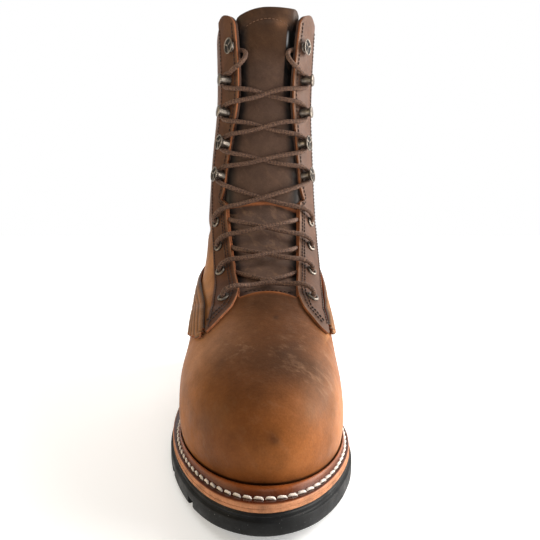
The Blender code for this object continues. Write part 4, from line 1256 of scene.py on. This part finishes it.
def tongue_relief(degrees, row):
    """Padding of the tongue: a crown between its sides, the overlap at its seam, and soft creases."""
    across = degrees / TONGUE_ANGLE
    seam_row = tongue_seam_row(degrees)
    pad = TONGUE_PAD * (1 - across**2) * ramp(row, TONGUE_SEAM_ROW, TONGUE_SEAM_ROW + TONGUE_FADE_ROWS)
    overlap = TONGUE_STEP * ramp(row, seam_row, seam_row + TONGUE_STEP_ROWS)
    waves = np.sin(TONGUE_FOLDS_BY_ROW * row + TONGUE_FOLDS_BY_SIDE * across)
    folds = TONGUE_FOLD * waves * ramp(row, seam_row, seam_row - TONGUE_FADE_ROWS)
    groove = TONGUE_ARCH_DEEP * bell(row - tongue_arch_row(degrees), TONGUE_ARCH_WIDE_ROWS)
    groove = groove * (np.abs(degrees) < TONGUE_ARCH_END_DEGREES)
    return pad + overlap + folds - groove - TONGUE_GAP_DEEP * tongue_gap(degrees, row)


def build_tongue(leather_look, edge_look, lining_look):
    row_count, column_count = TONGUE_GRID
    degrees = np.linspace(-TONGUE_ANGLE, TONGUE_ANGLE, column_count)
    rows = np.linspace(TONGUE_LOW_ROW, COLLAR_ROW, row_count)
    row, angle = np.meshgrid(rows, degrees, indexing="ij")
    above = np.maximum(row - COLLAR_BEND_ROW, 0)
    ring = row - above * steady(TONGUE_TOP_ANGLE, TONGUE_TOP_DROP, angle)
    points = padded_tongue(angle, ring)
    corner = ramp(angle, 0, TONGUE_CORNER_DEGREES) ** 2 * ramp(ring, *TONGUE_CORNER_ROWS)
    points[..., 2] += TONGUE_CORNER_LIFT * corner
    paint = paint_tongue(angle, ring, points)
    wear = np.where(ring < TONGUE_SEAM_ROW, TONGUE_WEAR_LOW, TONGUE_WEAR_HIGH)
    mesh = mesh_from("tongue_leather", points, grid_faces(row_count, column_count), paint, wear)
    looks = (leather_look, edge_look, lining_look)
    made = piece("tongue_leather", mesh, looks, ("tongue",))
    thicken(made, TONGUE_THICK, -1, TONGUE_EDGE_ROUND, inner=2, rim=1)


# Sole


def welt_lines():
    """Plan of the welt's inner line against the upper, and of its outer edge."""
    degrees = round_angles(SOLE_STEP)
    inner = grown(*plan_of(upper_face(degrees, np.full(len(degrees), WELT_TOP_ROW))), WELT_CLEAR)
    outer = grown(*sole_edge(degrees), -WELT_INSET)
    return np.array(inner), np.array(outer)


def welt_loop(share, rise):
    """A loop of the welt. Its rib, to WELT_RIB_SHARE in the section, is drawn in, most beside the toe."""
    inner, outer = welt_lines()
    beside = np.sin(np.radians(np.minimum(np.abs(round_angles(SOLE_STEP)), 90))) ** 2
    rib = WELT_RIB_FRONT_SHARE * (1 - WELT_RIB_NARROWER * beside)
    flat = rib + (share - WELT_RIB_SHARE) * (1 - rib) / (1 - WELT_RIB_SHARE)
    share = np.where(share < WELT_RIB_SHARE, share * rib / WELT_RIB_SHARE, flat)
    s, x = inner + (outer - inner) * share
    return points_of(s, x, seat_height(s) + rise)


def build_welt(leather_look, edge_look, stitch_look):
    loops = [welt_loop(share, rise) for share, rise, _ in WELT_PROFILE]
    count = len(loops[0])
    # Each loop's colour, with the painted shade and highlight across the section
    paint = np.concatenate([painted(colour, loop) for loop, (*_, colour) in zip(loops, WELT_PROFILE)])
    faces = grid_faces(len(loops), count, closed=True)
    mesh = mesh_from("welt_leather", np.concatenate(loops), faces, paint)
    piece("welt_leather", mesh, (leather_look, edge_look), ("welt",))
    on_edge = np.arange(len(faces)) < WELT_EDGE_BANDS * count
    mesh.polygons.foreach_set("material_index", on_edge.astype(np.int32))
    line = welt_loop(WELT_STITCH_SHARE, WELT_STITCH_RISE)
    line = np.concatenate([line, line[:1]])
    up = np.broadcast_to([0.0, 0.0, 1.0], line.shape)
    size = (WELT_STITCH_PITCH, WELT_STITCH_RADIUS, WELT_STITCH_LONG, WELT_STITCH_SLANT)
    piece("welt_stitches", stitch_mesh("welt_stitches", line, up, *size), (stitch_look,))


def stacked(name, loops):
    """A solid through closed loops from bottom to top, capped across."""
    count = len(loops[0])
    last = (len(loops) - 1) * count
    faces = grid_faces(len(loops), count, closed=True).tolist()
    for base in (0, last):
        loop = list(range(base, base + count))
        half = count // 2
        faces.append((loop[0], loop[1], loop[-1]))
        faces += [(loop[i], loop[i + 1], loop[-i - 1], loop[-i]) for i in range(1, half - 1)]
        faces.append((loop[half - 1], loop[half], loop[half + 1]))
    mesh = bpy.data.meshes.new(name)
    mesh.from_pydata(np.concatenate(loops).tolist(), [], faces)
    shape = bmesh.new()
    shape.from_mesh(mesh)
    bmesh.ops.recalc_face_normals(shape, faces=shape.faces)
    shape.to_mesh(mesh)
    shape.free()
    return mesh


def build_midsole(edge_look):
    s, x = sole_edge(round_angles(SOLE_STEP))
    loops = [points_of(*grown(s, x, out), seat_height(s) + rise) for out, rise in MIDSOLE_EDGE]
    piece("midsole_edge", stacked("midsole_edge", loops), (edge_look,), ("midsole",))


def box_at(middle, size, turn):
    """Corner points of a box turned about the vertical."""
    ends = (-0.5, 0.5)
    corners = np.array([(i, j, k) for i in ends for j in ends for k in ends]) * size
    x, y, z = corners.T
    cos, sin = np.cos(turn), np.sin(turn)
    return np.stack([x * cos - y * sin, x * sin + y * cos, z], -1) + middle


def floor_height(s):
    """Height of the floor along the foot."""
    return 0 * s


def edge_groove(degrees, wide, deep, long, height_at):
    """A box from the sole's edge inwards, from below the floor to deep above the underside there."""
    s, x = sole_edge(np.array([degrees - 1, degrees, degrees + 1]))
    around = points_of(s, x, 0)
    tangent = around[2] - around[0]
    inward = Vector((-tangent[1], tangent[0], 0)).normalized()
    height = height_at(s[1]) + deep
    centre = Vector(around[1]) + inward * (long / 2 - wide / 2)
    turn = np.arctan2(inward.y, inward.x)
    return box_at((centre.x, centre.y, (height - deep) / 2), (long + wide, wide, height + deep), turn)


def carved(name, mesh, boxes, look, replaced):
    """A rubber piece with boxes cut out of it."""
    faces = np.concatenate([np.array(BOX_FACES) + 8 * i for i in range(len(boxes))])
    cutter = bpy.data.objects.new(name + "_cutter", bpy.data.meshes.new(name + "_cutter"))
    cutter.data.from_pydata(np.concatenate(boxes).tolist(), [], faces.tolist())
    bpy.context.scene.collection.objects.link(cutter)
    made = piece(name, mesh, (look,), replaced)
    cut = made.modifiers.new("grooves", "BOOLEAN")
    cut.object = cutter
    cut.solver = "EXACT"
    cut.use_self = True
    round_off(made, RUBBER_EDGE_ROUND, RUBBER_EDGE_DEGREES)
    ready = made.evaluated_get(bpy.context.evaluated_depsgraph_get())
    final = bpy.data.meshes.new_from_object(ready)
    made.modifiers.clear()
    made.data = final
    bpy.data.objects.remove(cutter)
    final.shade_smooth()
    shape = bmesh.new()
    shape.from_mesh(final)
    sharp = np.radians(RUBBER_SMOOTH_DEGREES)
    for edge in shape.edges:
        edge.smooth = bool(len(edge.link_faces) != 2 or edge.calc_face_angle() < sharp)
    shape.to_mesh(final)
    shape.free()


def build_outsole(look):
    s, x = sole_edge(round_angles(SOLE_STEP))
    top = seat_height(s) - MIDSOLE_THICK - GAP
    low = tread_height(s)
    loops = [points_of(*grown(s, x, out), low + rise) for out, rise in TREAD_EDGE]
    for out, drop in SIDE_EDGE:
        loops.append(points_of(*grown(s, x, out), np.maximum(top - drop, low + SIDE_LEAST)))
    size = (GROOVE_WIDE, GROOVE_DEEP, GROOVE_LONG)
    boxes = [edge_groove(degrees, *size, tread_height) for degrees in GROOVE_ANGLES]
    for place in BAR_GROOVES_S:
        height = tread_height(place) + GROOVE_DEEP
        middle = (0, HEEL_Y - place, (height - GROOVE_DEEP) / 2)
        boxes.append(box_at(middle, (BAR_GROOVE_LONG, GROOVE_WIDE, height + GROOVE_DEEP), 0))
    carved("outsole_rubber", stacked("outsole_rubber", loops), boxes, look, ("outsole",))


def build_heel(look):
    degrees = round_angles(SOLE_STEP)
    s, x = sole_edge(degrees)
    kept = np.abs(degrees) >= HEEL_LAST_DEGREES - SMALL
    top = tread_height(s) - GAP
    sections = [(out, floor_height(s) + rise) for out, rise in HEEL_LOW_EDGE]
    sections += [(out, top - drop) for out, drop in HEEL_TOP_EDGE]
    loops = []
    for out, height in sections:
        ring = points_of(*grown(s, x, out), height)[kept]
        breast = (ring[0] + ring[-1]) / 2
        breast[1] += HEEL_BREAST_HOLLOW
        middle = len(ring) // 2
        loops.append(np.concatenate([ring[middle:], breast[None], ring[:middle]]))
    size = (HEEL_NOTCH_WIDE, HEEL_NOTCH_DEEP, HEEL_NOTCH_LONG)
    boxes = [edge_groove(side * angle, *size, floor_height) for angle in HEEL_NOTCH_ANGLES for side in SIDES]
    carved("heel_rubber", stacked("heel_rubber", loops), boxes, look, ("heel",))


# Stitches


def arc_length(line):
    """Length of a line of points up to each of them."""
    return np.concatenate([[0], np.cumsum(np.linalg.norm(np.diff(line, axis=0), axis=1))])


def along_line(at, length, values):
    """Values given for each point of a line, at lengths along it."""
    return np.stack([np.interp(at, length, values[:, i]) for i in range(3)], -1)


def stitch_mesh(name, line, out, pitch, radius, long, slant=0.0):
    """Short threads along a line of points, each dipping into the surface at its ends, and slanted to it."""
    share = np.linspace(0, 1, STITCH_RINGS)
    from_middle = np.abs(2 * share - 1)
    length = arc_length(line)
    count = int(length[-1] / pitch)
    starts = (np.arange(count) + 0.5 * (1 - long)) * length[-1] / count
    at = starts[:, None] + share * pitch * long
    centre = along_line(at, length, line)
    normal = along_line(at, length, out)
    side = unit(np.cross(unit(np.gradient(centre, axis=1)), normal))
    rise = radius * (STITCH_RISE - from_middle**STITCH_DIP_POWER)
    centre = centre + normal * rise[:, None] + side * (slant * pitch * (share - 0.5))[:, None]
    thick = radius * np.sqrt(1 - STITCH_THINNER * from_middle**STITCH_THIN_POWER)
    turn = 2 * np.pi * np.arange(STITCH_SIDES)[:, None] / STITCH_SIDES
    ring = np.cos(turn) * side[:, :, None, :] + np.sin(turn) * normal[:, :, None, :]
    points = centre[:, :, None, :] + ring * thick[:, None, None]
    one = grid_faces(STITCH_RINGS, STITCH_SIDES, closed=True)
    first = np.arange(count)[:, None, None] * STITCH_RINGS * STITCH_SIDES
    return mesh_from(name, points, (first + one).reshape(-1, 4))


def seam(name, angle, row, look, lift=METAL_LIFT, surface=skin):
    """A row of stitches through pattern coordinates on a surface."""
    knots = np.arange(len(angle))
    at = np.linspace(0, len(angle) - 1, SEAM_FINENESS * len(angle))
    angle = steady(knots, angle, at)
    row = steady(knots, row, at)
    line = surface(angle, row, lift)
    out = (surface(angle, row, lift + SEAM_OUT_STEP) - line) / SEAM_OUT_STEP
    piece(name, stitch_mesh(name, line, out, SEAM_PITCH, SEAM_RADIUS, SEAM_LONG), (look,))


def build_facing_seams(look, side, label):
    for number, (inset, last) in enumerate(THROAT_SEAMS, start=1):
        rows = np.linspace(THROAT_SEAM_FIRST_ROW, last, SEAM_POINTS)
        front, _ = facing_edges(rows, side)
        seam(f"throat_seam_{number}_{label}", side * (front + inset), rows, look)
    rows = np.linspace(*BACK_SEAM_ROWS, SEAM_POINTS)
    _, back = facing_edges(rows, side)
    seam(f"facing_back_seam_{label}", side * (back - BACK_SEAM_INSET), rows, look)


def build_foxing_seams(look, side, label):
    flat = np.linspace(*FOXING_SEAM_DEGREES, FOXING_SEAM_POINTS)
    _, high = foxing_rows(flat)
    spread = np.maximum(ramp(flat, *FOXING_SEAM_TIP_DEGREES), FOXING_SEAM_TIP_LEAST)
    for i in range(RIDGE_COUNT):
        rows = high - (FOXING_SEAM_FIRST + FOXING_SEAM_STEP * i) * spread
        seam(f"foxing_seam_{i + 1}_{label}", foxing_angles(side * flat), rows, look,
             lift=FOXING_LIFT + FACING_THICK)


def build_tongue_seams(look, light_look):
    degrees = np.linspace(-TONGUE_STITCH_DEGREES, TONGUE_STITCH_DEGREES, TONGUE_STITCH_POINTS)
    seams = (
        ("tongue_arch_seam", tongue_arch_row(degrees), light_look),
        ("gusset_seam", GUSSET_SEAM_ROW - GUSSET_SEAM_DROP * degrees**2, look),
        ("tongue_edge_seam", tongue_seam_row(degrees) + TONGUE_EDGE_SEAM_ROWS, look),
    )
    for name, rows, thread_look in seams:
        seam(name, degrees, rows, thread_look, lift=0.0, surface=padded_tongue)


def build_seams(look, light_look):
    for side, label in SIDES.items():
        build_facing_seams(look, side, label)
        build_foxing_seams(look, side, label)
    build_tongue_seams(look, light_look)


# Metal


def lathe(profile, steps):
    """Points and faces of a profile of radius and height turned about Z."""
    radius, height = np.array(profile).T[..., None]
    turn = 2 * np.pi * np.arange(steps) / steps
    points = np.stack([radius * np.cos(turn), radius * np.sin(turn), height + 0 * turn], -1)
    return points.reshape(-1, 3), grid_faces(len(profile), steps, closed=True)


def stand(side, place):
    """Origin on a facing, and the directions inwards to the throat, up and out, at an eyelet or hook."""
    row, lateral, medial = place[:3]
    at = np.array([-lateral if side < 0 else medial])
    ring = np.array([row])
    origin = skin(at, ring, METAL_LIFT)[0]
    out = facing_out(upper_face, at, ring)[0]
    up = (upper_face(at, ring + UP_STEP_ROWS) - upper_face(at, ring))[0]
    up = unit(up - out * (up @ out))
    return origin, np.array([np.cross(out, up) * side, up, out])


def leaned(points, hook):
    """A hook's points with its barrel leaning away from the throat over its flat base."""
    lean = np.radians(HOOK_LEAN_DEGREES[hook])
    inward, up, out = np.asarray(points, float).T
    above = np.maximum(out - HOOK_BASE_HIGH, 0)
    free = lean * ramp(above, 0, HOOK_BASE_FADE)
    tilted_in = inward * np.cos(free) - above * np.sin(lean)
    tilted_out = np.minimum(out, HOOK_BASE_HIGH) + above * np.cos(lean) + inward * np.sin(free)
    return np.stack([tilted_in, up, tilted_out], -1)


def spokes():
    """Points and faces of the bars from the middle of a hook's head to its rim."""
    bars = []
    for turn in SPOKE_TURNS:
        middle = (SPOKE_LONG / 2 * np.cos(turn), SPOKE_LONG / 2 * np.sin(turn), SPOKE_HEIGHT)
        bars.append(box_at(middle, (SPOKE_LONG, 2 * SPOKE_WIDE, 2 * SPOKE_THICK), turn))
    faces = [np.array(BOX_FACES) + 8 * i for i in range(len(bars))]
    return np.concatenate(bars), np.concatenate(faces)


def metal_piece(name, points, faces, place, look, replaced=()):
    """A piece given by its points inwards, up and out from a place on a facing."""
    origin, axes = place
    piece(name, mesh_from(name, origin + points @ axes, faces), (look,), replaced)


def build_eyelets(metal_look, hole_shade_look):
    for number, eyelet in enumerate(EYELETS, start=1):
        for side, label in SIDES.items():
            name = f"eyelet_{number}_{label}"
            place = stand(side, eyelet)
            ring = lathe(EYELET_PROFILE, METAL_SIDES["eyelet"])
            # A dark disc as painted shade in the eyelet's hole
            hole = lathe(EYELET_HOLE_SHADE, METAL_SIDES["hole"])
            metal_piece(name + "_ring", *ring, place, metal_look, (name,))
            metal_piece(name + "_hole", *hole, place, hole_shade_look)


def build_hooks(metal_look, hole_shade_look):
    for i, hook in enumerate(HOOKS):
        for side, label in SIDES.items():
            name = f"hook_{i + 1}_{label}"
            shapes = [("_body", *lathe(HOOK_SHAPES[i], METAL_SIDES["hook"]), metal_look, (name,))]
            if HOOK_SHAPES[i] is HOOK_FLARED:
                # A dark disc as painted shade in the flared head's hollow
                shapes.append(("_hole", *lathe(HOOK_HOLE_SHADE, METAL_SIDES["hole"]), hole_shade_look, ()))
                shapes.append(("_bars", *spokes(), metal_look, ()))
            for ending, points, faces, look, replaced in shapes:
                leaning = leaned(points * (1, 1, hook[-1]), i)
                metal_piece(name + ending, leaning, faces, stand(side, hook), look, replaced)


# Lace


def smooth_route(points, step=LACE_STEP):
    """A smooth line through points, with a point every step."""
    points = np.asarray(points, float)
    knots = arc_length(points)
    at = np.linspace(0, knots[-1], int(knots[-1] / step))
    return np.stack([spline(knots, points[:, i], at) for i in range(3)], -1)


def cord_mesh(name, line):
    """A round braided cord along a line: its strands stand up a little, with painted shade between them and a
    painted highlight on their crowns.
    """
    tangent = unit(np.gradient(line, axis=0))
    normal = np.cross(tangent[0], BRAID_START)
    normals = []
    for direction in tangent:
        normal = unit(normal - direction * (normal @ direction))
        normals.append(normal)
    normals = np.array(normals)
    sides = np.cross(tangent, normals)
    turn = 2 * np.pi * np.arange(LACE_SIDES) / LACE_SIDES
    climb = 2 * np.pi * arc_length(line)[:, None] / BRAID_TURN
    weave = np.cos(BRAID_STRANDS * turn + climb) * np.cos(BRAID_STRANDS * turn - climb)
    ring = np.cos(turn)[:, None] * normals[:, None] + np.sin(turn)[:, None] * sides[:, None]
    points = line[:, None] + ring * (LACE_RADIUS * (1 + BRAID_HIGH * weave))[..., None]
    # Painted shade between the strands, painted highlight on their crowns
    paint = blend(painted(LACE_GROOVE_SHADE, points), LACE_CROWN_HIGHLIGHT, (1 + weave) / 2)
    return mesh_from(name, points, grid_faces(len(line), LACE_SIDES, closed=True), paint)


def lace_height(degrees, row):
    """Height of the lace's centre line over the tongue's face: low in the middle, higher over the facings."""
    depth = steady(TONGUE_DEPTH_ROWS, TONGUE_DEPTH, row)
    high = depth + GAP + FACING_THICK + LACE_RADIUS + LACE_CLEAR
    return LACE_LOW + (high - LACE_LOW) * np.clip(np.abs(degrees) / THROAT_ANGLE, 0, 1) ** 3


def over_tongue(degrees, row, extra=0.0):
    """A point of the lace's centre line over the tongue."""
    at = np.array([degrees], float)
    ring = np.array([row], float)
    return tongue_skin(at, ring, lace_height(at, ring) + extra)[0]


def out_of_eyelet(side, eyelet, climb=1.0):
    """Points of a strand that comes up through an eyelet and turns to the throat."""
    origin, axes = stand(side, eyelet)
    return [origin + np.array(step) * (1, climb, 1) @ axes for step in EYELET_STEPS]


def levelled(route, first):
    """A strand's route with its points from number first on drawn into one even curve from the front."""
    route = np.array(route)
    start, end = route[first], route[-1]
    share = (route[first:, 0] - start[0]) / (end[0] - start[0])
    route[first:, 2] = start[2] + (end[2] - start[2]) * share**STRAND_CURVE
    return route


def round_hook(side, hook, turns):
    """Points of a strand round the outer side of a hook's barrel, from below to above."""
    origin, axes = stand(side, HOOKS[hook])
    points = []
    for turn in np.radians(turns):
        step = (-LACE_HOOK_RADIUS * np.cos(turn), LACE_HOOK_RADIUS * np.sin(turn), LACE_HOOK_HEIGHT)
        points.append(origin + leaned([step], hook)[0] @ axes)
    return points


def lace_ends():
    """The two free ends, by side: from the top laced hooks over the facings' edges and in behind them."""
    ends = {}
    angle, row, height = np.array(LACE_END_ROUTE).T
    for side in SIDES:
        line = smooth_route(tongue_skin(side * angle, row, height))
        for _ in range(LACE_SMOOTHING):
            line[1:-1] = (line[:-2] + 2 * line[1:-1] + line[2:]) / 4
        ends[side] = line
    return ends


def lace_piece(name, line, look, replaced=()):
    return piece(name, cord_mesh(name, line), (look,), replaced)


def build_lace_ends(look):
    for side, line in lace_ends().items():
        name = f"lace_end_{SIDES[side]}"
        made = lace_piece(name + "_cord", line, look, (name,))


def build_lace_bar(look):
    row, lateral, medial = EYELETS[0]
    route = out_of_eyelet(-1, EYELETS[0], STRAND_CLIMB)[:LACE_BAR_STEPS]
    for share in np.linspace(*LACE_BAR_SHARES, LACE_BAR_POINTS):
        degrees = -lateral + (lateral + medial) * share
        rise = LACE_BAR_RISE * (1 - (2 * share - 1) ** 2)
        route.append(over_tongue(degrees, row + rise, LACE_BAR_EXTRA))
    route += out_of_eyelet(1, EYELETS[0], STRAND_CLIMB)[:LACE_BAR_STEPS][::-1]
    lace_piece("lace_bar_cord", smooth_route(route), look, ("lace_bar",))


def build_lace_strands(look):
    """Strands from the second and third eyelets, over the tongue and in under the other facing."""
    for number, eyelet in enumerate(EYELETS[1:-1], start=1):
        for side, label in SIDES.items():
            row = eyelet[0]
            route = out_of_eyelet(side, eyelet, STRAND_CLIMB)
            for degrees, climb in STRAND_PLACES:
                height = STRAND_OVER[side] * (1 - (degrees / STRAND_FLAT_DEGREES) ** 2)
                route.append(over_tongue(side * degrees, row + climb, height))
            degrees, climb, height = STRAND_END
            route.append(tongue_skin(side * degrees, row + climb, height))
            line = smooth_route(levelled(route, len(EYELET_STEPS) - 1))
            replaced = (f"lace_crossing_{number}",) if side < 0 else ()
            lace_piece(f"lace_strand_{number}_{label}", line, look, replaced)


def build_lace_under(look):
    for side, label in SIDES.items():
        route = [tongue_skin(side * angle, row, height) for angle, row, height in UNDER_PLACES]
        lace_piece(f"lace_under_{label}", smooth_route(route), look)


def build_lace_runs(look):
    """The two long runs from the top eyelets, crossing from hook to hook up to the free ends."""
    ends = lace_ends()
    for start, label in SIDES.items():
        side = start
        route = out_of_eyelet(side, EYELETS[-1])
        before = EYELETS[-1][0] + RUN_FIRST_ROWS
        last = len(HOOKS) - 2
        for hook in range(last + 1):
            after = HOOKS[hook][0] - RUN_HOOK_ROWS
            for degrees, share in RUN_PLACES:
                height = RUN_OVER[side] * (RUN_BESIDE_SHARE if degrees else 1)
                route.append(over_tongue(side * degrees, before + (after - before) * share, height))
            side = -side
            route += round_hook(side, hook, RUN_LAST_TURNS if hook == last else RUN_TURNS)
            before = HOOKS[hook][0] + RUN_HOOK_ROWS
        route.append(ends[side][0])
        replaced = tuple(f"lace_crossing_{number}" for number in RUN_CROSSINGS[start])
        lace_piece(f"lace_run_{label}", smooth_route(route), look, replaced)


def build_lace(look):
    build_lace_ends(look)
    build_lace_bar(look)
    build_lace_strands(look)
    build_lace_under(look)
    build_lace_runs(look)


# Studio


def build_camera():
    data = bpy.data.cameras.new("camera")
    data.sensor_width = SENSOR_MM
    data.lens = CAMERA_FOCAL_PIXELS / FRAME_PIXELS * SENSOR_MM
    data.clip_start = 0.01
    made = bpy.data.objects.new("camera", data)
    made.location = CAMERA_PLACE
    made.rotation_euler = (np.radians(90 - CAMERA_DOWN_DEGREES), 0, 0)
    bpy.context.scene.collection.objects.link(made)
    bpy.context.scene.camera = made


def build_lights():
    for name, place, aim, wide, high, power, colour in LIGHTS:
        data = bpy.data.lights.new(name, "AREA")
        data.shape = "RECTANGLE"
        data.size = wide
        data.size_y = high
        data.energy = power
        data.color = colour
        made = bpy.data.objects.new(name, data)
        made.location = place
        made.rotation_euler = (Vector(aim) - Vector(place)).to_track_quat("-Z", "Y").to_euler()
        bpy.context.scene.collection.objects.link(made)


def world_ramp(tree, value, reach, first, last):
    """A value of the world's nodes, spread from first to last over a reach."""
    node = tree.nodes.new("ShaderNodeMapRange")
    tree.links.new(value, node.inputs["Value"])
    for key, number in zip(("From Min", "From Max", "To Min", "To Max"), (*reach, first, last)):
        node.inputs[key].default_value = number
    return node.outputs["Result"]


def build_world():
    """A white studio, dim behind the camera and on the boot's left."""
    world = bpy.data.worlds.new("studio")
    world.use_nodes = True
    tree = world.node_tree
    background = tree.nodes["Background"]
    split = tree.nodes.new("ShaderNodeSeparateXYZ")
    tree.links.new(tree.nodes.new("ShaderNodeTexCoord").outputs["Generated"], split.inputs["Vector"])
    strength = world_ramp(tree, split.outputs["Y"], STUDIO_DEPTH, STUDIO_FRONT, STUDIO_BACK)
    tree.links.new(strength, background.inputs["Strength"])
    tint = tree.nodes.new("ShaderNodeMix")
    tint.data_type = "RGBA"
    tree.links.new(world_ramp(tree, split.outputs["X"], STUDIO_LEFT_REACH, 0.0, 1.0), tint.inputs[0])
    tint.inputs[6].default_value = STUDIO_LEFT
    tint.inputs[7].default_value = WHITE
    tree.links.new(tint.outputs[2], background.inputs["Color"])
    bpy.context.scene.world = world
    bpy.context.scene.view_settings.view_transform = "Standard"


def build_floor():
    span = np.linspace(-FLOOR_HALF, FLOOR_HALF, FLOOR_POINTS)
    y, x = np.meshgrid(span, span, indexing="ij")
    points = np.stack([x, y, 0 * x - FLOOR_DROP], -1)
    mesh = mesh_from("floor", points, grid_faces(FLOOR_POINTS, FLOOR_POINTS))
    look = Look("floor_paper", 0.9)
    look.shader.inputs["Emission Color"].default_value = WHITE
    far = look.add("VectorMath", {"Vector": look.place}, operation="LENGTH").outputs["Value"]
    low, high = FLOOR_GLOW_REACH
    glow = look.ranged(far, FLOOR_GLOW, FLOOR_FAR_GLOW, low, high)
    look.feed(look.shader.inputs["Emission Strength"], glow)
    mesh.materials.append(look.finish(look.mixed(look.noise(3.0), *FLOOR_TONES)))
    floor = bpy.data.objects.new("floor", mesh)
    bpy.context.scene.collection.objects.link(floor)


def main():
    build_camera()
    build_lace(braid("lace_braid"))
    edge_look = raw_edge("raw_edge", RAW_EDGE)
    tan_look = raw_edge("tan_edge", TAN_EDGE)
    lining_look = lining_mesh()
    upper_look = leather("upper_hide", gloss=0.5, pebble=0.16, scuff=0.5, sheen=VAMP_SHEEN)
    build_upper(upper_look, lining_look, raw_edge("dark_edge", DARK_EDGE), edge_look)
    build_facings(leather("facing_hide", gloss=0.5, pebble=0.18, scuff=0.2), edge_look)
    build_foxing(leather("foxing_hide", gloss=0.5, pebble=0.55, scuff=0.25), edge_look)
    build_tongue(leather("tongue_hide", gloss=0.44, pebble=0.2, scuff=0.5), edge_look, lining_look)
    welt_look = leather("welt_hide", gloss=0.3, pebble=0.1, scuff=0.1)
    build_welt(welt_look, tan_look, thread("cream_thread", STITCH_CREAM))
    build_midsole(tan_look)
    rubber_look = rubber("black_rubber")
    build_outsole(rubber_look)
    build_heel(rubber_look)
    build_seams(thread("dark_thread", STITCH_DARK), thread("brown_thread", STITCH_BROWN))
    metal_look = metal("nickel")
    hole_shade_look = dark_hole()
    build_eyelets(metal_look, hole_shade_look)
    build_hooks(metal_look, hole_shade_look)
    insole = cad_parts["insole"].data
    insole.materials.clear()
    insole.materials.append(fibre_board())
    build_lights()
    build_world()
    build_floor()


main()
